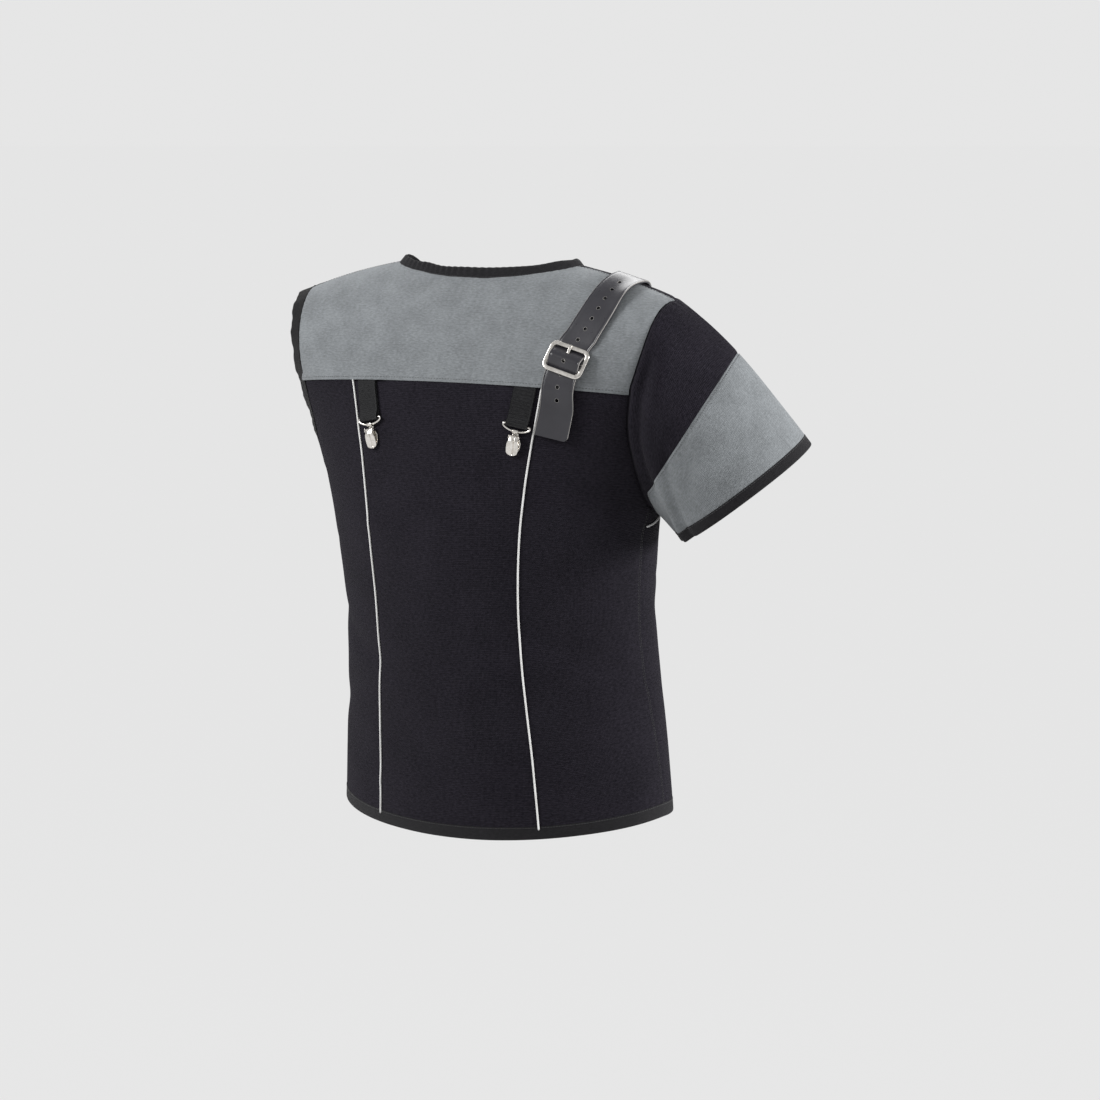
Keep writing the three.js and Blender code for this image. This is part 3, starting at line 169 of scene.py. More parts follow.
def smooth_curve(xs, ys, x):
    """The smooth line through the given points, carried on straight past its ends."""
    xs, ys, x = (np.asarray(values, float) for values in (xs, ys, x))
    step = np.diff(xs)
    slope = np.diff(ys) / step
    inner = np.where(slope[:-1] * slope[1:] > 0, (slope[:-1] + slope[1:]) / 2, 0.0)
    rate = np.concatenate([slope[:1], inner, slope[-1:]])
    i = np.clip(np.searchsorted(xs, x, side="right") - 1, 0, len(step) - 1)
    t = (x - xs[i]) / step[i]
    start = (1 + 2 * t) * (1 - t) ** 2 * ys[i] + t * (1 - t) ** 2 * step[i] * rate[i]
    end = t * t * (3 - 2 * t) * ys[i + 1] + t * t * (t - 1) * step[i] * rate[i + 1]
    line = np.where(x < xs[0], ys[0] + rate[0] * (x - xs[0]), start + end)
    return np.where(x > xs[-1], ys[-1] + rate[-1] * (x - xs[-1]), line)


def height_of(level):
    return HEM_Z + BODY_TALL * np.asarray(level, float)


def level_at(z):
    return (np.asarray(z, float) - HEM_Z) / BODY_TALL


def section_point(z, angle):
    rows = (HALF_WIDTH, CENTRE_Y, BACK_DEPTH, FRONT_DEPTH)
    wide, middle, back, front = (smooth_curve(SECTION_Z, row, z) for row in rows)
    depth = np.where(np.cos(angle) > 0, back, front)
    return np.stack([wide * np.sin(angle), middle + depth * np.cos(angle), z + 0 * angle], -1)


def form_point(level, angle):
    level, angle = matched(level, angle)
    low = section_point(height_of(np.minimum(level, 1.0)), angle)
    start = section_point(YOKE_Z + 0 * angle, angle)
    rise = (start - section_point(YOKE_Z - 6 + 0 * angle, angle)) * (CLIMB / 6)
    rise[..., 0] /= 2
    reach = np.sin(angle)
    ridge = np.stack([SHOULDER_X * reach, 2 * reach**2, 10.7 - 44.7 * reach**2], -1)
    back = np.cos(angle) > 0
    over = np.stack([0 * angle, np.where(back, -120.0, 125.0), np.where(back, 12.0, -12.0)], -1)
    high = hermite(start, rise, ridge, over, np.clip(level - 1, 0, 1)[..., None])
    return np.where((level > 1)[..., None], high, low)


def unit(v):
    return v / np.maximum(np.linalg.norm(v, axis=-1, keepdims=True), 1e-9)


def form_normal(level, angle):
    """The outward way. It is taken just beside the shoulder tip, where the ridge has no width."""
    level, angle = matched(level, angle)
    e, tip = 0.001, radians(2.5)
    low = np.where(level > 1.5, level - e, level)
    side = np.where(angle < 0, -1.0, 1.0)
    past = np.abs(angle) - pi / 2
    near_tip = (level > 1.5) & (np.abs(past) < tip)
    angle = np.where(near_tip, side * (pi / 2 + np.where(past > 0, tip, -tip)), angle)
    up = form_point(low + e, angle) - form_point(low, angle)
    around = form_point(level, angle + e) - form_point(level, angle - e)
    return unit(np.cross(up, around))


# The body's soft folds: angle, height, lean, half length, width and depth of each, the large
# ones first.
BODY_FOLDS = (
    (52, -420, 0.5, 90, 16, -3.0),
    (60, -500, -0.35, 70, 18, -2.4),
    (-58, -440, 0.4, 85, 17, -2.6),
    (-4, -430, -0.15, 120, 26, -2.0),
    (-128, -410, 0.45, 90, 18, -2.8),
    (132, -440, -0.4, 80, 18, -2.6),
    (140, -250, 0.7, 70, 15, -2.2),
    (20, -300, 0.25, 70, 10, 0.8),
    (-22, -560, -0.3, 80, 12, -0.8),
    (34, -590, 0.2, 60, 9, 0.7),
    (-46, -330, -0.8, 45, 8, -1.0),
    (-60, -300, 0.9, 40, 7, -0.9),
    (70, -330, -0.9, 45, 8, -0.9),
    (8, -190, 0.1, 70, 14, 0.7),
    (110, -330, 0.8, 50, 9, -1.1),
    (-112, -340, -0.8, 50, 9, -1.0),
    (160, -520, 0.3, 70, 12, -0.9),
    (-160, -350, -0.3, 70, 12, 0.8),
    (-82, -480, 0.6, 60, 11, 0.9),
)


def fold_depth(point, angle):
    total = np.zeros(np.shape(angle))
    for at, z, lean, half, wide, depth in BODY_FOLDS:
        around = ((angle - radians(at) + 3 * pi) % (2 * pi) - pi) * 160
        up = point[..., 2] - z
        across, length = up - around * lean, around + up * lean
        total += depth * np.exp(-((across / wide) ** 2)) * np.exp(-((length / half) ** 2))
    x, y, z = np.moveaxis(point, -1, 0)
    total += 0.22 * np.sin(z / 31 + 1.7 * np.sin(x / 47)) * np.sin(x / 38 + y / 51)
    return total + 0.12 * np.sin(z / 13 + x / 29 + 2.1 * np.sin(z / 40)) * np.sin(x / 19 - y / 23 + z / 61)


def body_point(level, angle, out=0.0):
    point = form_point(level, angle)
    lift = np.asarray(out + fold_depth(point, angle))
    return point + form_normal(level, angle) * lift[..., None]


SIDE_SEAM = ((-650, -560, -400, -300, -268), (92, 89, 83.5, 83.5, 87))
BACK_SEAM = ((-650, -400, -250, -135), (30.5, 29, 29.5, 31.3))
ARMHOLE_TURN = (
    0, 0.12, 0.2, 0.26, 0.31, 0.3503, 0.3764, 0.4077, 0.4298, 0.4497, 0.4693,
    0.5, 0.53, 0.56, 0.6, 0.65, 0.7, 0.78, 0.86, 0.93, 1,
)
ARMHOLE_ANGLE = (
    90, 80, 75, 71.5, 68, 65.5, 66, 71, 75, 78.5, 82.5,
    87, 95, 106, 114, 121, 125, 123, 114, 101, 90,
)
UNDERARM = float(level_at(UNDERARM_Z))
YOKE_TURN = math.acos(2 * (1 - UNDERARM) / (2 - UNDERARM) - 1) / (2 * pi)
HEM_BAND, SEAM_GAP = 13.0, 0.3


def side_angle(level):
    return np.radians(smooth_curve(*SIDE_SEAM, height_of(level)))


def back_seam_angle(level):
    return np.radians(smooth_curve(*BACK_SEAM, height_of(level)))


def armhole_level(turn):
    return UNDERARM + (2 - UNDERARM) * (0.5 + 0.5 * np.cos(2 * pi * np.asarray(turn, float)))


def armhole_angle(turn):
    return np.radians(smooth_curve(ARMHOLE_TURN, ARMHOLE_ANGLE, np.asarray(turn, float) % 1.0))


def hem_edge(angle):
    return level_at(-624 - 24 * np.maximum(np.cos(angle), 0) ** 1.5) + (HEM_BAND + SEAM_GAP) / BODY_TALL


def yoke_seam(angle, down=0.0):
    """The level of the yoke's lower edge, higher towards the centre back, and down below it."""
    above = 9.0 * np.maximum(np.cos(1.37 * np.asarray(angle, float)), 0) - down
    return 1 + above / np.where(above > 0, CLIMB, BODY_TALL)


def neck_level(angle):
    reach = np.minimum(np.abs(np.sin(angle)) * SHOULDER_X / NECK_X, 1)
    return 2 - np.where(np.cos(angle) > 0, 0.3, 0.78) * np.sqrt(1 - reach * reach)


def arc_lengths(points, axis):
    steps = np.linalg.norm(np.diff(points, axis=axis), axis=-1)
    zero = np.zeros_like(np.take(points[..., 0], [0], axis=axis))
    return np.concatenate([zero, np.cumsum(steps, axis=axis)], axis=axis)


def run_along(path):
    return arc_lengths(path[None], 1)[0]


def grid_piece(name, points, closed=False):
    """A sheet of quads from rows and columns of points in mm, with its own lengths as UV map."""
    rows, columns = points.shape[:2]
    kept = columns - 1 if closed else columns
    index = np.arange(rows * kept).reshape(rows, kept)
    if closed:
        index = np.concatenate([index, index[:, :1]], axis=1)
    uv = np.stack([arc_lengths(points, 1), arc_lengths(points, 0)], -1) / 1000
    uv[..., 0] -= uv[:, columns // 2, None, 0]
    corners = [(grid[:-1, :-1], grid[:-1, 1:], grid[1:, 1:], grid[1:, :-1]) for grid in (index, uv)]
    mesh = bpy.data.meshes.new(name)
    faces = np.stack(corners[0], -1).reshape(-1, 4)
    mesh.from_pydata((points[:, :kept].reshape(-1, 3) / 1000).tolist(), [], faces.tolist())
    flat = np.stack(corners[1], 2).reshape(-1)
    mesh.uv_layers.new(name="UVMap").data.foreach_set("uv", flat.astype(np.float32))
    mesh.validate()
    piece = bpy.data.objects.new(name, mesh)
    scene.collection.objects.link(piece)
    return piece


def use_only(piece):
    bpy.ops.object.select_all(action="DESELECT")
    piece.select_set(True)
    bpy.context.view_layer.objects.active = piece


def smooth(piece, angle=40):
    use_only(piece)
    bpy.ops.object.shade_smooth_by_angle(angle=radians(angle))


def add_modifier(piece, kind, **settings):
    """Adds a modifier and applies it."""
    modifier = piece.modifiers.new(kind.lower(), kind)
    for name, value in settings.items():
        setattr(modifier, name, value)
    use_only(piece)
    bpy.ops.object.modifier_apply(modifier=modifier.name)


def turn_faces_towards(piece, points, normals):
    """Flips the sheet's faces if they look away from the given outward directions."""
    face = piece.data.polygons[len(piece.data.polygons) // 2]
    near = np.argmin(np.linalg.norm(points.reshape(-1, 3) / 1000 - np.array(face.center), axis=1))
    if face.normal.dot(Vector(normals.reshape(-1, 3)[near])) < 0:
        piece.data.flip_normals()


def stands_for(piece, body, slot, *nodes):
    """Says which solids the piece replaces and the body that it rides on; its material slot is not used."""
    if nodes:
        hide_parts(*nodes)
    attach(piece, body)


def make_cloth(name, points, normals, thickness, finishes, closed=False):
    piece = grid_piece(name, points, closed)
    turn_faces_towards(piece, points, normals)
    for finish in finishes:
        piece.data.materials.append(finish)
    inside = len(finishes) - 1
    add_modifier(piece, "SOLIDIFY", thickness=thickness / 1000, offset=-1, material_offset=inside)
    smooth(piece, 50)
    return piece


def cloth_is(piece, node, slot):
    """Says what the sheet stands for."""
    stands_for(piece, "jacket", slot, node)


def noise(place, scale, detail=2.0, rough=0.5):
    inputs = {"Vector": place, "Scale": scale, "Detail": detail, "Roughness": rough}
    return add_node(place.id_data, "TexNoise", inputs).outputs["Fac"]


def ribs(place, way, rib, waver, detail_scale):
    inputs = {"Vector": place, "Scale": 1 / (pi * rib), "Distortion": waver, "Detail Scale": detail_scale}
    return add_node(place.id_data, "TexWave", inputs, bands_direction=way).outputs["Fac"]


def mix_in(source, share, base):
    inputs = {0: source, 1: share, 2: base}
    return add_node(source.id_data, "Math", inputs, operation="MULTIPLY_ADD").outputs[0]


def two_tones(source, low, dark, high, light):
    ramp = add_node(source.id_data, "ValToRGB", {"Fac": source})
    for stop, position, colour in zip(ramp.color_ramp.elements, (low, high), (dark, light)):
        stop.position = position
        stop.color = (*colour, 1)
    return ramp.outputs["Color"]


def relief(height, strength, distance):
    inputs = {"Height": height, "Strength": strength, "Distance": distance}
    return add_node(height.id_data, "Bump", inputs).outputs["Normal"]


def canvas_finish(name, dark, light, rib, rib_depth, fuzz, mottle_size, mottle_amount, gloss=0.2):
    """Woven canvas on its own UV map: cross rib, slubby threads, mottled shade and a little fuzz."""
    sheen = {"Specular IOR Level": gloss, "Sheen Weight": fuzz, "Sheen Roughness": 0.5}
    finish, shader = new_finish(name, sheen)
    place = add_node(finish.node_tree, "TexCoord").outputs
    stretch = add_node(finish.node_tree, "Mapping", {"Vector": place["UV"], "Scale": (210, 0.95 / rib, 1)})
    thread = noise(stretch.outputs["Vector"], 1.0, 3, 0.75)
    weave = mix_in(ribs(place["UV"], "X", rib / 1.3, 1.0, 1.0), 0.45, ribs(place["UV"], "Y", rib, 1.4, 2.5))
    mottle = noise(place["Object"], 1 / mottle_size, 4, 0.62)
    middle = 0.5 * mottle_amount + 0.5
    blend = mix_in(mottle, mottle_amount, thread)
    set_inputs(shader, {
        "Base Color": two_tones(blend, middle - 0.18, dark, middle + 0.18, light),
        "Normal": relief(mix_in(thread, 1.0, weave), rib_depth, 0.0006),
        "Roughness": between(mottle, 0.86, 0.98),
    })
    return finish


black_canvas = canvas_finish(
    "black canvas", (0.0078, 0.0066, 0.0108), (0.0265, 0.0232, 0.0325), 0.0021, 0.9, 0.03, 0.05, 0.3, 0.09
)


def edge_spaced(count, ease=0.3):
    """Steps from 0 to 1, closer together near both ends."""
    t = np.linspace(0, 1, count + 1)
    return t * (1 - ease) + ease * (0.5 - 0.5 * np.cos(pi * t))


def gathers(distance, run, amount, pitch, reach):
    """Small puckers that die away from a gathered edge."""
    wave = np.sin(2 * pi * run / pitch + 1.6 * np.sin(run / 17.0) + 0.8 * np.sin(run / 6.1))
    return amount * np.exp(-distance / reach) * wave


TUCK = 2.2


def sewn_points(level, angle, lift, sink, puckers=()):
    """A panel's points: its edges turn in a little where they are sewn to the next panel."""
    base = form_point(level, angle)
    across, along = arc_lengths(base, 1), arc_lengths(base, 0)
    right, high = across[:, -1:] - across, along[-1:, :] - along
    out = lift + fold_depth(base, angle)
    for depth, distance in zip(sink, (across, right, along, high)):
        out = out - depth * np.exp(-((distance / TUCK) ** 2))
    edges = {"left": (across, along[:, :1]), "right": (right, along[:, -1:]), "high": (high, across[-1:, :])}
    for edge, amount, pitch, reach, held in puckers:
        out = out + gathers(*edges[edge], amount, pitch, reach) * held
    normals = form_normal(level, angle)
    return base + normals * out[..., None], normals


SIDE_ROWS, HOLE_ROWS = 74, 34
GAP_TURN = 0.0006
side_up = hem_edge(side_angle(0)) + (UNDERARM - hem_edge(side_angle(0))) * edge_spaced(SIDE_ROWS, 0.15)
hole_turns = np.linspace(0.5, YOKE_TURN, HOLE_ROWS)[1:]
back_up = np.concatenate([side_up, armhole_level(hole_turns)])
back_out = np.concatenate([side_angle(side_up), armhole_angle(hole_turns)])
back_low, back_high = hem_edge(back_out), yoke_seam(back_out)
back_share = np.clip((back_up - back_low) / (back_high - back_low), 0, 1)[:, None]


def back_level(angle):
    return hem_edge(angle) + (yoke_seam(angle) - hem_edge(angle)) * back_share


back_seam = back_seam_angle(back_level(back_seam_angle(0.5)))
angle = (back_seam - GAP_TURN) * (2 * edge_spaced(56)[None, :] - 1)
points, normals = sewn_points(back_level(angle), angle, 0.0, (1.1, 1.1, 0.3, 1.6))
back_centre = make_cloth("back_centre_canvas", points, normals, CANVAS, [black_canvas])
cloth_is(back_centre, "back_centre", "black_canvas")

# Back side panels: the same canvas, from the piped seam to the side seam and the armhole. The
# left one is gathered a little where the elastic band draws its armhole in.
in_armhole = np.concatenate([np.zeros(SIDE_ROWS + 1), np.ones(HOLE_ROWS - 1)])[:, None]
for side, word, drawn in ((1, "left", 0.8), (-1, "right", 0.25)):
    outer = back_out[:, None] - GAP_TURN
    angle = outer + (back_seam + GAP_TURN - outer) * edge_spaced(44)[None, :]
    puckers = [("left", drawn, 7.5, 9, in_armhole)]
    points, normals = sewn_points(back_level(angle), angle * side, 0.0, (0.9, 1.1, 0.3, 1.6), puckers)
    back_side = make_cloth(f"back_side_canvas_{word}", points, normals, CANVAS, [black_canvas])
    cloth_is(back_side, f"back_side_{word}", "black_canvas")

# Back yoke: brushed grey canvas over both shoulder blades, in one piece from the shoulder seams
# down to a folded edge that is top-stitched over the black panels and the loops' ends.
grey_canvas = canvas_finish(
    "grey canvas", (0.182, 0.194, 0.203), (0.290, 0.309, 0.324), 0.0017, 0.4, 0.12, 0.028, 0.5
)
lining = canvas_finish(
    "black lining", (0.010, 0.010, 0.011), (0.018, 0.018, 0.020), 0.0011, 0.3, 0.05, 0.05, 0.3
)
NECK_ANGLE = math.asin(NECK_X / SHOULDER_X)
LOOPS = (("left", 25.3, 24.6), ("right", -26.1, -25.2))


def neck_angle(turn):
    """The neck edge as one turn, 0 at the centre back and a quarter at the left neck point."""
    reach = np.arcsin(NECK_X / SHOULDER_X * np.sin(np.abs(turn)))
    return np.sign(turn) * np.where(np.abs(turn) <= pi / 2, reach, pi - reach)


def over_ends(angle):
    """How far the yoke's edge stands out over the layers below and the two loops' ends."""
    beside = [np.abs(angle - radians(top)) * BACK_ROUND - 17 for _, top, _ in LOOPS]
    return 1.5 + sum(2.6 / (1 + np.exp(distance / 1.6)) for distance in beside)


to_shoulder = NECK_ANGLE + (pi / 2 - NECK_ANGLE) * np.linspace(0, 1, 23)[1:]
quarter = np.concatenate([neck_angle(np.linspace(0, pi / 2, 25)), to_shoulder]) / (pi / 2)
yoke_columns = np.concatenate([-quarter[:0:-1], quarter])[None, :]
turn = np.linspace(YOKE_TURN, 0, 40)[:, None]
share = (np.maximum(armhole_level(turn), 1) - 1) * 0.998
angle = (armhole_angle(turn) - 0.001) * yoke_columns
level = yoke_seam(angle) + (neck_level(angle) - yoke_seam(angle)) * share
level = np.concatenate([yoke_seam(angle[:1], down) for down in (2.4, 1.7, 0.8)] + [level])
angle = np.concatenate([angle[:1]] * 3 + [angle])
height = (form_point(level, angle) - form_point(yoke_seam(angle), angle))[..., 2]
lift = over_ends(angle) * np.exp(-np.clip(height + 1, 0, None) / 6.5)
puckers = [("right", 0.35, 9, 9, 1.0), ("left", 0.25, 9, 8, 1.0), ("high", 0.35, 8, 7, 1.0)]
points, normals = sewn_points(level, angle, lift, (0.9, 0.9, 0.5, 1.0), puckers)
yoke = make_cloth("back_yoke_canvas", points, normals, CANVAS, [grey_canvas, lining])
cloth_is(yoke, "back_yoke", "grey_canvas")

# Fronts: the same black canvas. The wearer's left laps over the right, and the right has a chest
# piece above a slanting piped seam. Their free edges are turned in.
FRONT_LAP = radians(3.6)
FRONT_EDGE = pi + FRONT_LAP
LAP_LIFT = 3.5
HALF_GAP = 0.0004
CHEST_SEAM = ((80, 90, 112, 135, 160, 184), (-291, -287.5, -268, -226, -197, -188))
CHEST_PUCKERS = ("high", 0.3, 8, 6, 1.0)


def lap_lift(angle):
    return LAP_LIFT * eased((np.asarray(angle, float) - pi + radians(13)) / radians(8))


def chest_level(angle):
    return level_at(smooth_curve(*CHEST_SEAM, np.degrees(angle)))


def neck_edge(angle):
    return neck_level(angle) - 0.002


CHEST_START = float(chest_level(side_angle(level_at(-292))))
front_neck = pi - NECK_ANGLE * (1 - np.linspace(0, 1, 30) ** 1.5)
front_neck = np.concatenate([front_neck, [FRONT_EDGE - 0.03, FRONT_EDGE]])
front_turns = np.linspace(0.5, 1, 60)[1:]


def front_panel(name, node, side, up, out, bottom, top, sink, lift=lambda angle: 0.0, puckers=()):
    """Rows go from the side edge to the free edge, each at its share of the panel's height."""
    share = np.maximum.accumulate(np.clip((up - bottom(out)) / (top(out) - bottom(out)), 0, 1))[:, None]
    edge = out[:, None] - 0.004
    angle = edge + (pi - NECK_ANGLE - edge) * np.linspace(0, 1, 27)[:-1]
    angle = np.concatenate([angle, front_neck + 0 * edge], axis=1)
    level = bottom(angle) + (top(angle) - bottom(angle)) * share
    points, normals = sewn_points(level, angle * side, lift(angle), sink, puckers)
    cloth_is(make_cloth(name, points, normals, CANVAS, [black_canvas]), node, "black_canvas")


front_up = np.concatenate([side_up, armhole_level(front_turns)])
front_out = np.concatenate([side_angle(side_up), armhole_angle(front_turns)])
in_front_hole = (np.arange(len(front_up)) > SIDE_ROWS)[:, None]
front_panel(
    "left_front_canvas", "left_front", 1, front_up, front_out, hem_edge, neck_edge,
    (0.9, 0.4, 0.3, 1.0), lap_lift, [("left", 0.8, 7.5, 9, in_front_hole), CHEST_PUCKERS],
)
low_up = np.append(side_up[side_up < CHEST_START - 0.003], CHEST_START)
front_panel(
    "right_front_low_canvas", "right_front_lower", -1, low_up, side_angle(low_up), hem_edge,
    lambda angle: chest_level(angle) - HALF_GAP, (0.9, 0.4, 0.3, 1.1),
)
above = np.concatenate([[CHEST_START], side_up[side_up > CHEST_START + 0.003][:-1]])
front_panel(
    "right_chest_canvas", "right_front_chest", -1,
    np.concatenate([above, armhole_level(front_turns)]),
    np.concatenate([side_angle(above), armhole_angle(front_turns)]),
    lambda angle: chest_level(angle) + HALF_GAP, neck_edge, (0.6, 0.4, 1.1, 1.0), puckers=[CHEST_PUCKERS],
)

# Sleeve: a short set-in sleeve on the wearer's right, black canvas to a slanting seam, then the
# yoke's grey canvas to a bound cuff. It holds its round, with soft folds where it meets the body.
CUFF_MIDDLE = np.array((-298.5, -59, -251.5))
CUFF_HALF_TALL, CUFF_HALF_DEEP, CUFF_BAND = 90.5, 78, 11.0
SLEEVE_RUN = unit(np.array((-0.5285, -0.2963, -0.8003)))
cuff_top = np.array((-0.6532, -0.4599, 0.6018))
CUFF_TOP = unit(cuff_top - SLEEVE_RUN * cuff_top.dot(SLEEVE_RUN))
CUFF_BACK = np.cross(SLEEVE_RUN, CUFF_TOP)
SLEEVE_TURN = (0, 0.25, 0.5, 0.75, 1)
SLEEVE_LEAVE = ((-185, -70, -44, -60, -185), (0, 70, 4, -80, 0), (-95, -60, -34, -60, -95))
SLANT_WAY, SLANT_AT = (-0.7634, -0.3517, -0.5417), 290.9
ARMHOLE_FAR = np.array((365.0, 0, -150.0))
# Each fold: turn, span, distance from the armhole, lean, width, depth.
SLEEVE_FOLDS = (
    (0.36, 0.10, 20, 25, 11, -6.5),
    (0.22, 0.10, 16, 60, 13, -2.2),
    (0.31, 0.11, 44, 40, 15, 2.2),
    (0.72, 0.1, 24, 0, 9, -6.5),
    (0.66, 0.07, 60, -120, 12, -3),
    (0.44, 0.04, 40, 150, 11, -3),
    (0.455, 0.06, 60, 60, 9, 4),
    (0.46, 0.06, 84, 60, 8, -3.2),
    (0.22, 0.05, 88, -260, 11, -1.6),
    (0.3, 0.06, 112, 200, 10, -1.5),
    (0.36, 0.05, 78, 120, 8, -1.6),
    (0.14, 0.06, 120, -160, 13, 1.2),
    (0.8, 0.08, 92, -150, 12, -1.4),
    (0.9, 0.06, 60, 120, 12, -1.0),
    (0.58, 0.05, 60, 100, 9, -1.6),
)


def alike(way, guide):
    """The way, or its opposite, whichever goes with the guide."""
    return np.where(np.sum(way * guide, -1, keepdims=True) < 0, -way, way)


def edge_frame(point_at, normal_at, outward, tilt=(0, 0, 0)):
    """Along a cloth's edge: the point, the way on past the edge, and the outer face's normal."""
    def frame_at(t):
        normal = normal_at(t)
        run = unit(point_at(t + 0.002) - point_at(t - 0.002))
        away = unit(alike(unit(np.cross(run, normal)), outward(t)) + np.asarray(tilt, float))
        return point_at(t), away, alike(unit(np.cross(run, away)), normal)
    return frame_at


def armhole_point(turn, side):
    return body_point(armhole_level(turn), armhole_angle(turn) * side)


def armhole_normal(turn, side):
    return form_normal(np.minimum(armhole_level(turn), 1.999), armhole_angle(turn) * side)


def armhole_frame(side):
    return edge_frame(
        lambda t: armhole_point(t, side),
        lambda t: armhole_normal(t, side),
        lambda t: ARMHOLE_FAR * (side, 1, 1) - armhole_point(t, side),
    )


def cuff_point(turn):
    around = 2 * pi * np.asarray(turn, float)[..., None]
    tall, deep = CUFF_TOP * CUFF_HALF_TALL, CUFF_BACK * CUFF_HALF_DEEP
    return CUFF_MIDDLE + tall * np.cos(around) + deep * np.sin(around)


def sleeve_form(turn, share):
    turn, share = matched(turn, share)
    edge, away, _ = armhole_frame(-1)(turn)
    start, end = edge + away * 1.3, cuff_point(turn)
    leave = np.stack([smooth_curve(SLEEVE_TURN, row, turn % 1.0) for row in SLEEVE_LEAVE], -1)
    arrive = SLEEVE_RUN * np.linalg.norm(end - start, axis=-1, keepdims=True)
    return hermite(start, leave, end, arrive, share[..., None])


def from_armhole(point, turn):
    return np.linalg.norm(point - sleeve_form(turn, 0), axis=-1)


def sleeve_normal(turn, share):
    turn, share = matched(turn, share)
    e = 0.003
    low = np.minimum(share, 1 - e)
    out = sleeve_form(turn, low + e) - sleeve_form(turn, low)
    normal = unit(np.cross(sleeve_form(turn + e, share) - sleeve_form(turn - e, share), out))
    seam = unit(armhole_normal(turn, -1) + normal)
    far = from_armhole(sleeve_form(turn, share), turn)
    return unit(seam + (normal - seam) * eased(far / 6)[..., None])


def sleeve_point(turn, share, out=0.0):
    turn, share = matched(turn, share)
    point = sleeve_form(turn, share)
    far = from_armhole(point, turn)
    x, y, z = np.moveaxis(point, -1, 0)
    fold = 0.35 * np.sin(z / 24 + 1.7 * np.sin(x / 31)) * np.sin(x / 27 + y / 33)
    for at, span, distance, lean, wide, depth in SLEEVE_FOLDS:
        line = far - distance - (turn - at) * lean
        fold = fold + depth * np.exp(-(((turn - at) / span) ** 4)) * np.exp(-((line / wide) ** 2))
    under_seam = 0.7 * np.exp(-(((turn - 0.5) * 520 / 1.8) ** 2))
    lift = out + fold * eased((far - 2) / 10) - under_seam
    return point + sleeve_normal(turn, share) * lift[..., None]


def sleeve_share(turn, inside):
    """The share of the way down the sleeve at which the test stops being true."""
    low, high = np.zeros(np.shape(turn)), np.ones(np.shape(turn))
    for _ in range(26):
        middle = (low + high) / 2
        near = inside(sleeve_form(turn, middle))
        low, high = np.where(near, middle, low), np.where(near, high, middle)
    return low


def slant_share(turn, shift):
    least = sleeve_share(turn, lambda point: from_armhole(point, turn) < 9 + shift)
    return np.maximum(least, sleeve_share(turn, lambda point: point @ np.array(SLANT_WAY) - SLANT_AT < shift))


def cuff_share(turn):
    return sleeve_share(turn, lambda point: np.linalg.norm(point - cuff_point(turn), axis=-1) > CUFF_BAND)


sleeve_turns = np.linspace(0, 1, 145)


def sleeve_piece(name, node, slot, start, end, rows, finishes, set_in):
    """One part of the sleeve. The part that is set in has a row more, inside the armhole."""
    share = start + (end - start) * edge_spaced(rows)[:, None]
    turns = np.broadcast_to(sleeve_turns, share.shape)
    form = sleeve_form(turns, share)
    along = arc_lengths(form, 0)
    out = -1.0 * np.exp(-((along / TUCK) ** 2)) - 0.8 * np.exp(-(((along[-1:] - along) / TUCK) ** 2))
    if set_in:
        out = out + gathers(along, arc_lengths(form, 1)[:1], 0.35, 9, 8)
    points, normals = sleeve_point(turns, share, out), sleeve_normal(turns, share)
    if set_in:
        inner = armhole_point(sleeve_turns, -1) - armhole_normal(sleeve_turns, -1) * 3.0
        points, normals = np.concatenate([inner[None], points]), np.concatenate([normals[:1], normals])
    cloth_is(make_cloth(name, points, normals, CANVAS, finishes, closed=True), node, slot)


sleeve_piece(
    "sleeve_upper_canvas", "sleeve_upper", "black_canvas",
    0.0, slant_share(sleeve_turns, -0.1), 26, [black_canvas], True,
)
sleeve_piece(
    "sleeve_lower_canvas", "sleeve_lower", "grey_canvas",
    slant_share(sleeve_turns, 0.1), cuff_share(sleeve_turns), 24, [grey_canvas, lining], False,
)

# Edge bindings: a folded tape that takes in the cloth's edge, sewn through near its open side.
# Hem, neck and cuff are plain ribbed tape; the sleeveless armhole has an elastic one, gathered.
binding = canvas_finish(
    "black binding tape", (0.011, 0.0105, 0.012), (0.024, 0.023, 0.026), 0.0011, 0.7, 0.1, 0.03, 0.3, 0.12
)
elastic = canvas_finish(
    "elastic binding tape", (0.006, 0.006, 0.0065), (0.014, 0.0135, 0.015), 0.0013, 0.7, 0.1, 0.03, 0.3, 0.12
)
TAPE, TAPE_OUT, NECK_BAND = 0.9, 1.15, 11.0
LAP_TURN = math.asin(math.sin(FRONT_LAP) * SHOULDER_X / NECK_X)


def folded_tape(name, node, slot, finish, edge, stations, wide, wave, closed=False, over=2.4, depth=TAPE_OUT):
    """The tape's fold as seen in section: up over the cloth, round the bottom, and up inside."""
    point, away, face = edge(stations)
    flat = [(-over, depth), (0.4, depth + 0.05), (wide * 0.3, depth), (wide * 0.6, depth)]
    flat = flat + [(wide - 1.7, depth * 0.9)]
    curl = [(wide - 0.6, depth * 0.6), (wide - 0.1, 0), (wide - 0.6, -depth * 0.6)]
    rows = []
    for out, up in flat + curl + [(a, -b) for a, b in reversed(flat)]:
        swing, swell = wave(run_along(point)[:, None], out / wide)
        rows.append(point + away * (out + swell * (out > 0)) + face * (up - CANVAS / 2 + swing))
    outward = [face] * len(flat) + [away] * len(curl) + [-face] * len(flat)
    piece = make_cloth(name, np.stack(rows), np.stack(outward), TAPE, [finish], closed=closed)
    cloth_is(piece, node, slot)


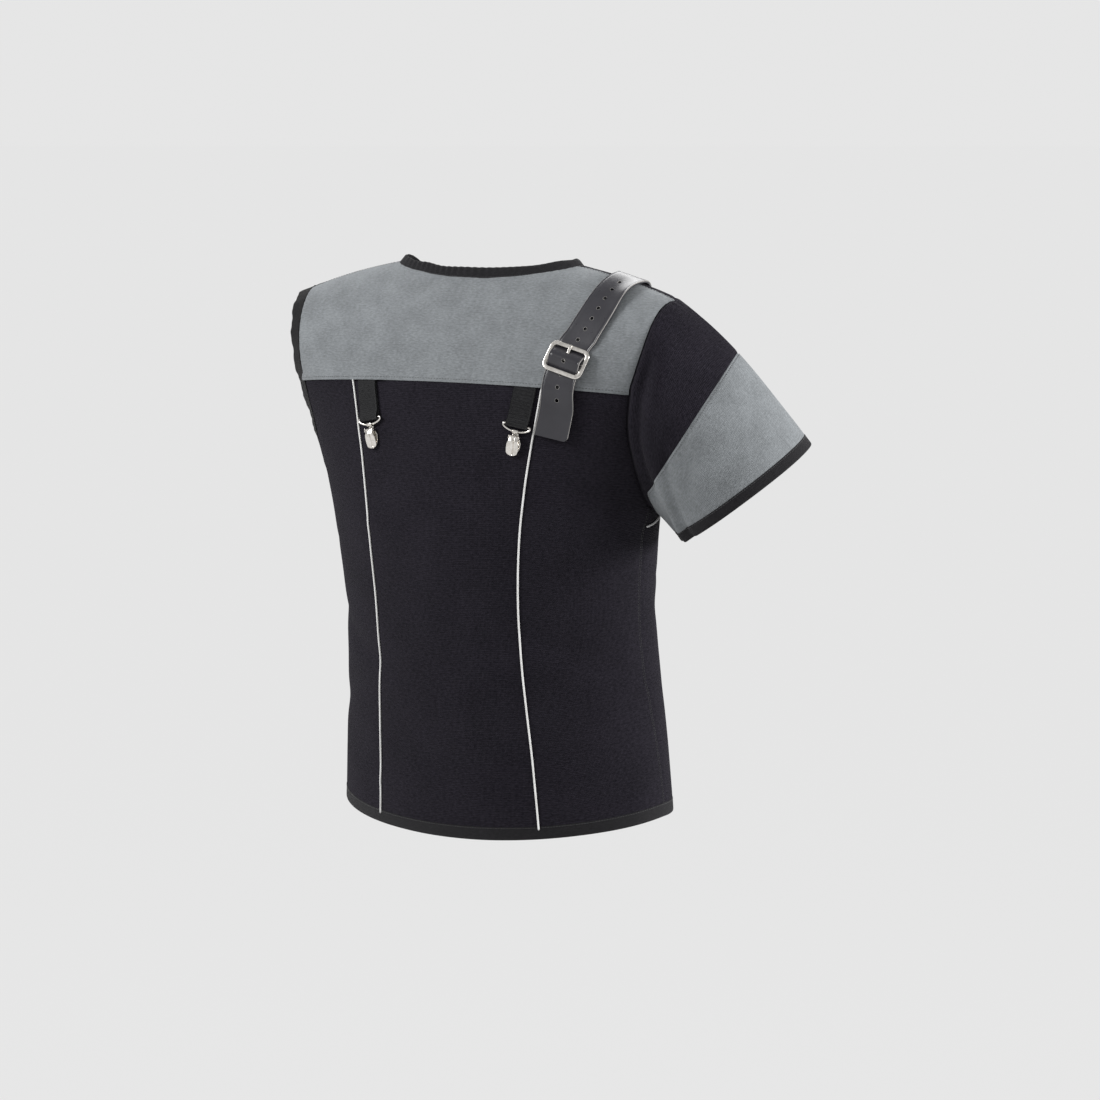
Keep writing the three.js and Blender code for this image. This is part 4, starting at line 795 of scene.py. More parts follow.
def neck_point(turn):
    angle = neck_angle(turn)
    return body_point(neck_edge(angle), angle, lap_lift(angle))


def neck_normal(turn):
    angle = neck_angle(turn)
    return form_normal(np.minimum(neck_edge(angle), 1.999), angle)


hem_frame = edge_frame(
    lambda angle: body_point(hem_edge(angle), angle, lap_lift(angle)),
    lambda angle: form_normal(hem_edge(angle), angle),
    lambda angle: np.array((0, 0, -1.0)),
)
neck_frame = edge_frame(neck_point, neck_normal, lambda turn: np.array((0, 0, 1.0)), (0, 0, 0.9))
cuff_frame = edge_frame(
    lambda turn: sleeve_point(turn, cuff_share(turn)),
    lambda turn: sleeve_normal(turn, cuff_share(turn)),
    lambda turn: SLEEVE_RUN,
)


def hem_wave(run, share):
    return 0.25 * np.sin(run / 23 + 1.5 * np.sin(run / 61)) * share, 0.35 * np.sin(run / 37)


def neck_wave(run, share):
    ruffle = np.sin(2 * pi * run / 8.5 + 1.8 * np.sin(run / 21)) * (0.55 + 0.45 * np.sin(run / 47))
    return 0.75 * ruffle * np.maximum(share, 0.2), 0.7 * np.sin(run / 12 + 2 * np.sin(run / 33))


def elastic_wave(run, share):
    bend = 2 * pi * run / 12.5 + 2.2 * np.sin(run / 29) + 0.9 * np.sin(run / 11)
    slow = np.sin(2 * pi * run / 37 + 1.3 * np.sin(run / 53))
    low = 0.45 + 0.55 * np.sin(pi * run / run.max()) ** 2
    swing = (0.4 * np.sin(bend) * low + 0.7 * slow) * (0.25 + np.maximum(share, 0))
    return swing, 0.8 * np.sin(bend + 2) * low


def cuff_wave(run, share):
    return 0.4 * np.sin(run / 15 + 1.5 * np.sin(run / 37)) * np.maximum(share, 0), 0.3 * np.sin(run / 29)


folded_tape(
    "hem_tape", "hem_binding", "black_binding", binding, hem_frame,
    np.linspace(-FRONT_EDGE, FRONT_EDGE, 340), HEM_BAND, hem_wave,
)
folded_tape(
    "neck_tape", "neck_binding", "black_binding", binding, neck_frame,
    np.linspace(-(pi + LAP_TURN), pi + LAP_TURN, 420), NECK_BAND, neck_wave,
)
folded_tape(
    "armhole_elastic", "armhole_binding", "elastic_binding", elastic, armhole_frame(1),
    np.linspace(0, 1, 381), 13.2, elastic_wave, closed=True, over=6.2, depth=1.5,
)
folded_tape(
    "cuff_tape", "sleeve_binding", "black_binding", binding, cuff_frame,
    np.linspace(0, 1, 241), CUFF_BAND, cuff_wave, closed=True,
)

# Piping: white covered cord laid into the two long back seams and the right front's seam, with
# its ends drawn in.
white_piping, shader = new_finish("white piping", {"Roughness": 0.6, "Sheen Weight": 0.2})
place = add_node(shader.id_data, "TexCoord").outputs
set_inputs(shader, {
    "Base Color": two_tones(noise(place["Object"], 60, 4), 0.3, (0.84, 0.83, 0.81), 0.62, (0.97, 0.97, 0.96)),
    "Normal": relief(noise(place["UV"], 900, 3), 0.4, 0.0003),
})
CORD_RADIUS = 1.12


def piping(name, node, level, angle):
    middle, normal = body_point(level, angle, 0.6), form_normal(level, angle)
    run = np.gradient(middle, axis=0)
    across = unit(np.cross(normal, run))
    normal = unit(np.cross(run, across))
    length = run_along(middle)
    rows = []
    for around in np.linspace(0, 2 * pi, 13):
        radius = CORD_RADIUS + 0.03 * np.sin(length / 1.1 + 2 * np.sin(length / 9) + around)[:, None]
        rows.append(middle + (across * math.cos(around) + normal * math.sin(around)) * radius)
    points = np.stack(rows, 1)
    centre = points.mean(axis=1, keepdims=True)
    points[[0, -1]] = (centre + (points - centre) * 0.2)[[0, -1]]
    cord = grid_piece(name, points, closed=True)
    turn_faces_towards(cord, points, unit(points - points.mean(axis=1, keepdims=True)))
    cord.data.materials.append(white_piping)
    use_only(cord)
    bpy.ops.object.shade_smooth()
    stands_for(cord, "jacket", "white_piping", node)


seam_start = float(hem_edge(back_seam_angle(0))) - 0.004
level = np.linspace(seam_start, float(yoke_seam(back_seam_angle(1))) - 0.003, 420)
for side, word in ((1, "left"), (-1, "right")):
    piping(f"back_piping_{word}", f"piping_back_{word}", level, back_seam_angle(level) * side)
angle = np.linspace(float(side_angle(CHEST_START)) + radians(0.5), pi - radians(16), 300)
piping("chest_piping", "piping_front_right", chest_level(angle), -angle)

# Top-stitching: black thread along the side seams and through every tape, and along the folded
# yoke edge, the shoulder and sleeve seams a dark grey one, darkened as painted shade of the
# stitches sunk into the cloth. One stitch is modelled and laid along each line.
bpy.ops.mesh.primitive_uv_sphere_add(segments=6, ring_count=4, radius=1)
one_stitch = bpy.context.object
stitch_shape = np.array([tuple(v.co) for v in one_stitch.data.vertices])[:, [2, 0, 1]]
stitch_shape[:, 0] = np.sign(stitch_shape[:, 0]) * np.abs(stitch_shape[:, 0]) ** 0.7
stitch_faces = [tuple(f.vertices) for f in one_stitch.data.polygons]
bpy.data.objects.remove(one_stitch)


def thread_finish(name, dark, light):
    finish, shader = new_finish(name, {"Roughness": 0.6, "Sheen Weight": 0.3})
    twist = noise(add_node(finish.node_tree, "TexCoord").outputs["Object"], 1400)
    set_inputs(shader, {
        "Base Color": two_tones(twist, 0, dark, 1, light),
        "Normal": relief(twist, 0.5, 0.0002),
    })
    return finish


black_thread = thread_finish("black thread", (0.012, 0.012, 0.013), (0.045, 0.045, 0.048))
# Yoke and sleeve thread: coloured far darker than the grey canvas, as painted shade where the stitches sink
# into the cloth.
grey_thread_painted_shade = thread_finish("grey thread darkened as painted shade", (0.045, 0.047, 0.049), (0.10, 0.104, 0.108))


def sew(name, lines, finish, slot, long=2.3, gap=0.9, thick=0.3):
    """Stitches along each line of (points, outward ways): long with a gap, pressed into the cloth."""
    vertices, faces = [], []
    for path, outward in lines:
        length = run_along(path)
        count = max(int(length[-1] / (long + gap)), 1)
        at = (np.arange(count) + 0.5) * length[-1] / count
        ahead, behind, middle, up = (
            np.stack([np.interp(at + shift, length, values[:, k]) for k in range(3)], -1)
            for shift, values in ((0.5, path), (-0.5, path), (0, path), (0, outward))
        )
        run = unit(ahead - behind)
        across = unit(np.cross(unit(up), run))
        size = np.array((long / 2, thick, thick))
        for place, *ways in zip(middle, run, across, np.cross(run, across)):
            faces.extend([tuple(len(vertices) + v for v in f) for f in stitch_faces])
            vertices.extend(((place + (stitch_shape * size) @ np.array(ways)) / 1000).tolist())
    mesh = bpy.data.meshes.new(name)
    mesh.from_pydata(vertices, [], faces)
    seam = bpy.data.objects.new(name, mesh)
    scene.collection.objects.link(seam)
    seam.data.materials.append(finish)
    use_only(seam)
    bpy.ops.object.mode_set(mode="EDIT")
    bpy.ops.mesh.select_all(action="SELECT")
    bpy.ops.mesh.normals_make_consistent(inside=False)
    bpy.ops.object.mode_set(mode="OBJECT")
    bpy.ops.object.shade_smooth()
    stands_for(seam, "jacket", slot)


def on_body(level, angle, out, lift=0.0):
    level, angle = matched(level, angle)
    return body_point(level, angle, out + lift), form_normal(np.minimum(level, 1.999), angle)


def on_tape(edge, stations, wave, wide):
    back = 0.9
    point, away, face = edge(stations)
    swing, _ = wave(run_along(point)[:, None], -back / wide)
    return point - away * back + face * (TAPE_OUT + TAPE * 0.1 - CANVAS / 2 + swing), face


around = np.linspace(-1, 1, 300) * armhole_angle(YOKE_TURN) * 0.985
yoke_row = on_body(yoke_seam(around, -0.9), around, 0.12, over_ends(around) * math.exp(-1.9 / 6.5) - 0.1)
ridge = NECK_ANGLE + (pi / 2 - NECK_ANGLE) * np.linspace(0.03, 0.985, 60)
shoulder_rows = [on_body(1.972, ridge * side, 0.2) for side in (1, -1)]
sew("yoke_stitches", [yoke_row, *shoulder_rows], grey_thread_painted_shade, "grey_canvas", 2.4, 1.2, 0.34)

level = np.linspace(float(hem_edge(side_angle(0))) + 0.004, UNDERARM - 0.01, 300)
rows = []
for side, step in ((1, 2.6), (1, 6.2), (-1, 2.6), (-1, 6.2)):
    rows.append(on_body(level, (side_angle(level) - step / SIDE_ROUND) * side, 0.12))
level = np.linspace(0.07, 1.2, 260)
rows += [on_body(level, FRONT_EDGE - step / FRONT_ROUND, 0.15, LAP_LIFT) for step in (3.0, 24.0)]
angle = np.linspace(float(side_angle(CHEST_START)) + 0.03, pi, 200)
rows += [on_body(chest_level(angle) + 0.0075, -angle, 0.1)]
sew("body_stitches", rows, black_thread, "black_canvas")
beside_slant = slant_share(sleeve_turns, 2.6)
rows = [(sleeve_point(sleeve_turns, beside_slant, 0.1), sleeve_normal(sleeve_turns, beside_slant))]
sew("sleeve_stitches", rows, grey_thread_painted_shade, "grey_canvas", 2.2, 0.8)
rows = [
    on_tape(hem_frame, np.linspace(-FRONT_EDGE + 0.02, FRONT_EDGE - 0.02, 400), hem_wave, HEM_BAND),
    on_tape(neck_frame, np.linspace(-pi, pi, 420), neck_wave, NECK_BAND),
    on_tape(cuff_frame, np.linspace(0, 1, 260), cuff_wave, CUFF_BAND),
    on_tape(armhole_frame(1), np.linspace(0, 1, 400), elastic_wave, 12.0),
]
sew("tape_stitches", rows, black_thread, "black_binding")

# Webbing loops: black nylon webbing, doubled round the ring's bar and sewn in under the yoke's
# edge. Its cross ribs stand up from the weave.
WEBBING_WIDE, WEBBING_TOP, WEBBING_DROP, BAR_OUT, WIRE = 25.5, 7.0, 37.5, 2.9, 2.4
RIB_TALL, RIB_PITCH = 0.24, 2.3
webbing = canvas_finish(
    "ribbed webbing", (0.005, 0.005, 0.006), (0.024, 0.024, 0.026), 0.0016, 0.8, 0.12, 0.02, 0.3
)


def loop_frame(top_angle, low_angle):
    """Where a loop hangs: its origin, and the ways across it, up it and out from the cloth."""
    middle = (float(level_at(YOKE_Z - WEBBING_DROP / 2)), radians((top_angle + low_angle) / 2))
    top = body_point(1 - 0.15 / BODY_TALL - 0.001, radians(top_angle))
    low = body_point(float(level_at(YOKE_Z - WEBBING_DROP)), radians(low_angle))
    up = unit(top - low)
    across = unit(np.cross(up, form_normal(*middle)))
    out = np.cross(across, up)
    rise = (body_point(*middle) - top).dot(out)
    return top + out * (rise + 0.95), across, up, out


def in_place(frame):
    """The matrix that carries a piece made in millimetres at the origin to its frame."""
    origin, across, up, out = frame
    place = np.eye(4)
    place[:3] = np.stack([across, up, out, origin], -1) / 1000
    return Matrix(place.tolist())


loop_frames = {word: loop_frame(top, low) for word, top, low in LOOPS}
radius = BAR_OUT - 0.7
inner = [(t, 0.7) for t in np.linspace(WEBBING_TOP, -WEBBING_DROP, 120)]
bend = [
    (-WEBBING_DROP + radius * math.cos(a), BAR_OUT + radius * math.sin(a))
    for a in np.linspace(-pi / 2, -3 * pi / 2, 26)[1:-1]
]
outer = [
    (t, BAR_OUT + radius + (2.1 - BAR_OUT - radius) * eased((t + WEBBING_DROP) / 11))
    for t in np.linspace(-WEBBING_DROP, WEBBING_TOP, 120)
]
route = np.array(inner + bend + outer)
route[:, 1] -= 1.3 * np.clip((route[:, 0] + 10 - WEBBING_TOP) / 10, 0, 1)
length = run_along(route)
fine = np.arange(0, length[-1], 0.36)
along = np.stack([np.interp(fine, length, route[:, k]) for k in (0, 1)], -1)
slope = unit(np.gradient(along, axis=0))
side_out = np.stack([slope[:, 1], -slope[:, 0]], -1)
wide = np.concatenate([[-0.5, -0.485, -0.46], np.linspace(-0.43, 0.43, 12), [0.46, 0.485, 0.5]])
rib = RIB_TALL * np.sin(2 * pi * fine / RIB_PITCH)[:, None] * np.where(np.abs(wide) < 0.45, 1, 0.3)
rib = rib - np.where(np.abs(wide) > 0.47, 0.25, 0)
for word, (origin, across, up, out) in loop_frames.items():
    ribbed = along[:, None] + side_out[:, None] * rib[..., None]
    points = origin + across * (wide * WEBBING_WIDE)[:, None] + ribbed @ np.stack([up, out])
    normals = np.broadcast_to(-side_out[:, None] @ np.stack([up, out]), points.shape)
    strap_loop = make_cloth(f"webbing_loop_{word}", points + normals * 0.55, normals, 1.1, [webbing])
    stands_for(strap_loop, "jacket", "webbing", f"loop_{word}")

# Rings: bent nickel-plated wire, a straight bar through the webbing, curled at its two corners
# and drawn together to the clip's neck.
nickel, shader = new_finish("bright nickel", {"Metallic": 1.0})
place = add_node(shader.id_data, "TexCoord").outputs["Object"]
wear = noise(place, 220, 5, 0.65)
set_inputs(shader, {
    "Base Color": two_tones(wear, 0.32, (0.66, 0.63, 0.58), 0.6, (0.86, 0.83, 0.79)),
    "Roughness": between(wear, 0.14, 0.34),
    "Normal": relief(noise(place, 900), 0.02, 0.0001),
})
RING_PATH = (
    (-13.6, 0), (-6, 0), (6, 0), (13.6, 0), (15.3, -0.5), (16, -1.9), (14.4, -4), (9.4, -6.2),
    (5.4, -7.2), (0, -7.5), (-5.4, -7.2), (-9.4, -6.2), (-14.4, -4), (-16, -1.9), (-15.3, -0.5),
)


def settle(piece, frame, node, body="jacket", slot="nickel", finish=nickel):
    piece.data.transform(in_place(frame))
    piece.matrix_world = Matrix.Identity(4)
    piece.data.materials.clear()
    piece.data.materials.append(finish)
    stands_for(piece, body, slot, node)


def apply_place(piece):
    use_only(piece)
    bpy.ops.object.transform_apply(location=True, rotation=True, scale=True)


def round_edges(piece, width, segments=3, angle=35):
    add_modifier(
        piece, "BEVEL", width=width, segments=segments, limit_method="ANGLE", angle_limit=radians(angle)
    )


def join_pieces(*pieces):
    use_only(pieces[0])
    for piece in pieces:
        piece.select_set(True)
    bpy.ops.object.join()
    return pieces[0]


def edit(piece, select_mode="FACE"):
    """Goes into edit mode with all of the piece selected."""
    use_only(piece)
    bpy.ops.object.mode_set(mode="EDIT")
    bpy.ops.mesh.select_mode(type=select_mode)
    bpy.ops.mesh.select_all(action="SELECT")


def leave_edit():
    bpy.ops.object.mode_set(mode="OBJECT")


def select_where(piece, mode, test):
    """In edit mode, selects the vertices or faces that pass the test."""
    bpy.ops.mesh.select_all(action="DESELECT")
    leave_edit()
    for part in getattr(piece.data, mode):
        if test(part):
            part.select = True
    bpy.ops.object.mode_set(mode="EDIT")


def resize(piece, value, centre, test=None):
    """Resizes the piece about a centre, or only its corners that pass the test."""
    edit(piece, "VERT")
    if test:
        select_where(piece, "vertices", test)
    bpy.ops.transform.resize(value=value, center_override=centre)
    leave_edit()


def outward_faces(piece, threshold=0.0005):
    edit(piece)
    bpy.ops.mesh.remove_doubles(threshold=threshold)
    bpy.ops.mesh.normals_make_consistent(inside=False)
    leave_edit()


for word, frame_of_loop in loop_frames.items():
    bpy.ops.curve.primitive_nurbs_circle_add(radius=1, location=(0, 0, 0))
    ring = bpy.context.object
    ring.name = f"wire_ring_{word}"
    ring.data.splines.clear()
    spline = ring.data.splines.new("NURBS")
    spline.points.add(len(RING_PATH) - 1)
    for point, (x, y) in zip(spline.points, RING_PATH):
        point.co = (x * 1.02, y - WEBBING_DROP, BAR_OUT, 1)
    spline.use_cyclic_u = True
    spline.order_u = 3
    spline.resolution_u = 8
    ring.data.bevel_depth = WIRE / 2
    ring.data.bevel_resolution = 4
    ring.data.use_fill_caps = True
    use_only(ring)
    bpy.ops.object.convert(target="MESH")
    ring = bpy.context.object
    outward_faces(ring)
    bpy.ops.object.shade_smooth()
    settle(ring, frame_of_loop, f"ring_{word}", f"clip_{word}")

# Spring clips: pressed nickel-plated steel. The back plate is curled round the ring at its neck
# and has two ears for the pin; the domed lever with its pressed groove turns on the pin.
CLIP_Y, PIN_DROP, PIN_OUT, LEVER_LONG = -WEBBING_DROP - 7.45, 6.4, 4.6, 20.8
LEVER_WIDTHS = ((0, 0.12, 0.34, 0.6, 0.86, 1), (4.6, 5.3, 7, 7.4, 6.7, 5.6))
PIN_Y, PLATE_OUT = CLIP_Y - PIN_DROP, BAR_OUT - 2.5


def new_round(radius, height, place, turned=(0, 0, 0), vertices=32):
    bpy.ops.mesh.primitive_cylinder_add(
        vertices=vertices, radius=radius, depth=height, location=place, rotation=turned
    )
    piece = bpy.context.object
    apply_place(piece)
    return piece


def new_bar(radius, length, up, out, vertices=32):
    return new_round(radius, length, (0, up, out), (0, pi / 2, 0), vertices)


def new_block(size, place, rounded=0.0):
    bpy.ops.mesh.primitive_cube_add(size=1, location=place)
    piece = bpy.context.object
    piece.scale = size
    apply_place(piece)
    if rounded:
        round_edges(piece, rounded)
    return piece


def cut_with(piece, tool):
    add_modifier(piece, "BOOLEAN", operation="DIFFERENCE", solver="EXACT", object=tool)
    bpy.data.objects.remove(tool)


def new_oval(half_wide, half_long, height, up, out, vertices=32):
    piece = new_round(1, height, (0, up, out), vertices=vertices)
    resize(piece, (half_wide, half_long, 1), (0, up, out))
    return piece


for word, frame_of_loop in loop_frames.items():
    plate = new_oval(8, 12.2, 1.1, CLIP_Y - 14.4, PLATE_OUT + 0.55, 48)
    resize(plate, (0.88, 1, 1), (0, CLIP_Y - 10, PLATE_OUT), lambda v: v.co.y > CLIP_Y - 10)
    round_edges(plate, 0.35)
    neck = new_block((6.8, 6.5, 1.1), (0, CLIP_Y - 2.4, PLATE_OUT + 0.55), 0.3)
    curl = new_bar(2.5, 6.8, CLIP_Y, BAR_OUT)
    cut_with(curl, new_bar(WIRE / 2 + 0.3, 12, CLIP_Y, BAR_OUT))
    round_edges(curl, 0.3)
    ear_size = (1, 4, PIN_OUT + 1.2)
    ears = [new_block(ear_size, (x, PIN_Y, PLATE_OUT + ear_size[2] / 2 + 0.4), 0.35) for x in (-5.9, 5.9)]
    pin = new_bar(0.8, 13.6, PIN_Y, PIN_OUT)
    round_edges(pin, 0.25)
    lip = new_oval(5, 2.3, 1.3, CLIP_Y - 23.8, PLATE_OUT + 1.2)
    round_edges(lip, 0.5)
    clip = join_pieces(plate, neck, curl, *ears, pin, lip)
    clip.name = f"clip_plate_{word}"
    smooth(clip)
    settle(clip, frame_of_loop, f"clip_body_{word}", f"clip_{word}")

    bpy.ops.mesh.primitive_grid_add(x_subdivisions=36, y_subdivisions=40, size=2, location=(0, 0, 0))
    lever = bpy.context.object
    for v in lever.data.vertices:
        across, share = v.co.x, (1 - v.co.y) / 2
        start = min(share / 0.2, 1)
        tip = math.sqrt(max(1 - max((share - 0.86) / 0.15, 0) ** 2, 0.04))
        half = float(smooth_curve(*LEVER_WIDTHS, share)) * tip
        crown = 2.0 * (1 - across * across) ** 0.6 * start * (1 - 0.5 * share**3)
        groove = 1.7 * math.exp(-(((across - 0.22) / 0.1) ** 2)) * start * min((1 - share) / 0.16, 1)
        out = PIN_OUT + 1.7 - 3.2 * float(eased(share)) + crown - groove
        v.co = (half * across, PIN_Y - LEVER_LONG * share, out)
    add_modifier(lever, "SOLIDIFY", thickness=0.9, offset=-1)
    add_modifier(lever, "SUBSURF", levels=1, render_levels=1)
    knuckle = new_bar(1.9, 10.2, PIN_Y, PIN_OUT)
    round_edges(knuckle, 0.35)
    lever = join_pieces(lever, knuckle)
    lever.name = f"clip_lever_dome_{word}"
    smooth(lever)
    settle(lever, frame_of_loop, f"clip_lever_{word}", f"lever_{word}")

# Sling strap: thick black bridle leather with raw, paler edges and a row of punched holes. It
# goes over the right shoulder, is sewn down at the front, and is drawn through the buckle.
STRAP_ROUTE = (
    (0.86, 1.009, 1.209, 1.394, 1.544, 1.724, 2, 2.25, 2.55, 2.9),
    (36, 38, 39, 42.5, 45, 47, 49, 47.5, 45, 42.5),
)
STRAP_HEIGHT = (
    (-220, -180, -70, -30, -20, -13, -3.75, 0, 2.94, 14, 34, 47, 62, 90),
    (2.2, 3, 3, 2.2, 1.95, 2.3, 11.6, 13.1, 12.2, 5.3, 5.4, 4.3, 4, 4.5),
)
BUCKLE_LAP, STRAP_TAIL, STRAP_FRONT = 1.209, 87.0, -208.0
STRAP_WIDE, STRAP_THICK, HOLE_PITCH = 38.0, 3.0, 14.0
STRAP_HOLES = (-8, -7, -6, -5, -4, -3, -2, 0, 1, 2, 3)
# The box of stitches at the front end: each line's first and last length and width.
STRAP_BOX = (
    (-204, -15, -180, -15), (-204, 15, -180, 15), (-204, -15, -204, 15),
    (-180, -15, -180, 15), (-204, -15, -180, 15), (-204, 15, -180, -15),
)


def route_point(lap):
    """The strap's line on the cloth: up the back to lap 2 at the shoulder, then down the front."""
    lap = np.asarray(lap, float)
    lean = np.radians(smooth_curve(*STRAP_ROUTE, lap))
    level, angle = np.where(lap <= 2, lap, 4 - lap), np.where(lap <= 2, -lean, lean - pi)
    return body_point(level, angle), form_normal(np.minimum(level, 1.999), angle)


laps = np.linspace(2.9, 0.86, 241)
lap_lengths = run_along(route_point(laps)[0])
buckle_length = float(np.interp(-BUCKLE_LAP, -laps, lap_lengths))


def route_frame(length):
    lap = np.interp(np.asarray(length, float) + buckle_length, lap_lengths, laps)
    point, normal = route_point(lap)
    up = unit(route_point(lap + 0.01)[0] - route_point(lap - 0.01)[0])
    across = unit(np.cross(up, normal))
    return point, across, up, np.cross(across, up)


buckle_at = route_frame(0.0)


def strap_frame(length):
    """Like the route's frame, but held straight where the strap runs through the buckle."""
    point, across, up, _ = route_frame(length)
    held = 1 - eased(np.where(length < 0, (-length - 15) / 17, (length - 17) / 40))[..., None]
    aside = ((point - buckle_at[0]) @ buckle_at[1])[..., None]
    point = point - buckle_at[1] * aside * held
    across = unit(across + (buckle_at[1] - across) * held)
    up = unit(up - across * np.sum(up * across, -1, keepdims=True))
    return point, across, up, np.cross(across, up)


def strap_point(length, wide, out):
    point, across, _, away = strap_frame(np.asarray(length, float))
    return point + across * np.asarray(wide)[..., None] + away * np.asarray(out)[..., None]


def leather_finish(name, dark, light, rough, grain):
    """A cloudy shade, fine creases in gloss and relief, and pores on a scale of about 1 mm."""
    finish, shader = new_finish(name, {"Specular IOR Level": 0.62})
    place = add_node(finish.node_tree, "TexCoord").outputs["Object"]
    pores = add_node(finish.node_tree, "TexVoronoi", {"Vector": place, "Scale": 1100}).outputs["Distance"]
    crease = noise(place, 160, 6, 0.7)
    set_inputs(shader, {
        "Base Color": two_tones(noise(place, 28, 4), 0.3, dark, 0.7, light),
        "Roughness": between(crease, rough - 0.07, rough + 0.09),
        "Normal": relief(mix_in(pores, 0.5, crease), grain, 0.0003),
    })
    return finish


strap_leather = leather_finish(
    "black strap leather", (0.021, 0.020, 0.026), (0.037, 0.036, 0.044), 0.29, 0.22
)
raw_edge = leather_finish("raw leather edge", (0.22, 0.21, 0.20), (0.46, 0.44, 0.42), 0.8, 0.8)

half, thick = STRAP_WIDE / 2, STRAP_THICK / 2
crown = [(w, thick + 0.12 * (1 - (w / half) ** 2)) for w in np.linspace(-half + 4.5, half - 4.5, 9)]
crease = [(half - 2.7, thick), (half - 2.2, thick - 0.16), (half - 1.7, thick), (half - 0.5, thick)]
raw = [(half, thick - 0.5), (half, 0.3), (half, -thick + 0.35)]
top = [(-w, up) for w, up in reversed(crease)] + crown + crease
below = [(w, -thick) for w in (half - 0.35, half / 2, 0, -half / 2, -half + 0.35)]
section = np.array(top + raw + below + [(-w, up) for w, up in reversed(raw)] + top[:1])
wide, high = section.T
stations = np.concatenate([
    np.arange(STRAP_FRONT, -26, 1.9), np.arange(-26, 30, 0.7), np.arange(30, STRAP_TAIL, 1.6), [STRAP_TAIL],
])
height = smooth_curve(*STRAP_HEIGHT, stations)
slope = (smooth_curve(*STRAP_HEIGHT, stations + 0.1) - height) / 0.1
nip = np.clip((stations - STRAP_TAIL + 4) / 4, 0, 1) * 3.2
rows = []
for station, rise, lean, corner in zip(stations, height, slope, nip):
    tilt = high / math.hypot(1, lean)
    ripple = 0.12 * math.sin(station / 9.5) * wide / half
    ripple += 5 * math.exp(-(((station + 100) / 24) ** 2)) * np.clip(wide / half, 0, 1) ** 1.5
    rows.append(strap_point(station - lean * tilt, np.minimum(wide, half - corner), rise + tilt + ripple))
start, end = (np.broadcast_to(row.mean(axis=0), row.shape) for row in (rows[0], rows[-1]))
points = np.stack([start, *rows, end])
strap = grid_piece("sling_strap_leather", points, closed=True)
turn_faces_towards(strap, points, unit(points - points.mean(axis=1, keepdims=True) + 1e-6))
strap.data.materials.append(strap_leather)
strap.data.materials.append(raw_edge)
columns = len(section) - 1
raw_columns = {len(top) - 1, len(top), columns - 2, columns - 1}
for face in strap.data.polygons:
    row, column = divmod(face.index, columns)
    face.material_index = int(column in raw_columns or row in (0, len(points) - 2))
outward_faces(strap, 0.00001)
punches, rims = [], []
for hole in STRAP_HOLES:
    length = 2 + hole * HOLE_PITCH
    point, across, up, away = strap_frame(np.array(length))
    rise, low, high = (float(smooth_curve(*STRAP_HEIGHT, length + step)) for step in (0, -0.5, 0.5))
    lean = high - low
    place = in_place((point + away * rise, across, unit(up - away * lean), unit(away + up * lean)))
    punch = new_round(2.15, 12, (0, 0, 0), vertices=24)
    punch.data.transform(place)
    punch.data.materials.append(strap_leather)
    punches.append(punch)
    bpy.ops.mesh.primitive_torus_add(
        major_radius=2.25, minor_radius=0.17, major_segments=28, minor_segments=6,
        location=(0, 0, thick + 0.06),
    )
    rim = bpy.context.object
    apply_place(rim)
    rim.data.transform(place)
    rims.append(rim)
slot_cut = new_block((4.4, 9.0, 14), (0, 11.4, 4))
slot_cut.data.transform(in_place(buckle_at))
slot_cut.data.materials.append(raw_edge)
cut_with(strap, join_pieces(*punches, slot_cut))
rims = join_pieces(*rims)
rims.name = "strap_hole_rims"
rims.data.materials.append(raw_edge)
smooth(rims)
stands_for(rims, "jacket", "strap_leather")
smooth(strap, 30)
stands_for(strap, "jacket", "strap_leather", "sling_strap")


def on_strap(length, wide):
    out = smooth_curve(*STRAP_HEIGHT, length) + thick + 0.12
    return strap_point(length, wide, out), strap_frame(length)[3]


rows = [on_strap(np.linspace(a, c, 40), np.linspace(b, d, 40)) for a, b, c, d in STRAP_BOX]
sew("strap_end_stitches", rows, black_thread, "strap_leather", 2.6, 1.0, 0.4)

# Buckle tab: a short doubled strip of the same leather, folded round the buckle's centre bar
# and sewn to the yoke under the strap, slotted where the prong sits.
BAR_HIGH, BAR_RADIUS, TAB_WIDE, TAB_END = 7.55, 2.0, 30.0, 32.0
FOLD_RADIUS, TAB_LOW, TAB_HIGH, SLOT_OUT = 3.0, 1.45, 2.75, 3.6
lower = [(t, TAB_LOW) for t in np.linspace(TAB_END, 10, 22)]
climb = [(t, TAB_LOW + 1.95 * ((10 - t) / 7) ** 2) for t in np.linspace(9, 3.4, 7)]
turn = np.linspace(-0.42 * pi, -1.62 * pi, 34)
fold = [(FOLD_RADIUS * math.cos(a), BAR_HIGH + FOLD_RADIUS * math.sin(a)) for a in turn]
back = [(t, TAB_HIGH + 1.85 * ((9 - t) / 6) ** 1.5) for t in np.linspace(3.6, 9, 7)]
upper = [(t, TAB_HIGH) for t in np.linspace(10, TAB_END, 22)]
route = np.array(lower + climb + fold + back + upper)
length = run_along(route)
fine = np.linspace(0, length[-1], 150)
tab_long, tab_out = (np.interp(fine, length, route[:, k]) for k in (0, 1))
wide = np.concatenate([np.linspace(-TAB_WIDE / 2, -2.2, 9), [0], np.linspace(2.2, TAB_WIDE / 2, 9)])
points = np.stack([strap_point(tab_long, w, tab_out) for w in wide], 1)
tab = grid_piece("buckle_tab_leather", points)
turn_faces_towards(tab, points, unit(np.cross(np.gradient(points, axis=1), np.gradient(points, axis=0))))
tab.data.materials.append(strap_leather)
tab.data.materials.append(raw_edge)


def in_slot(face):
    row, column = divmod(face.index, len(wide) - 1)
    return column in (8, 9) and tab_out[row] > SLOT_OUT


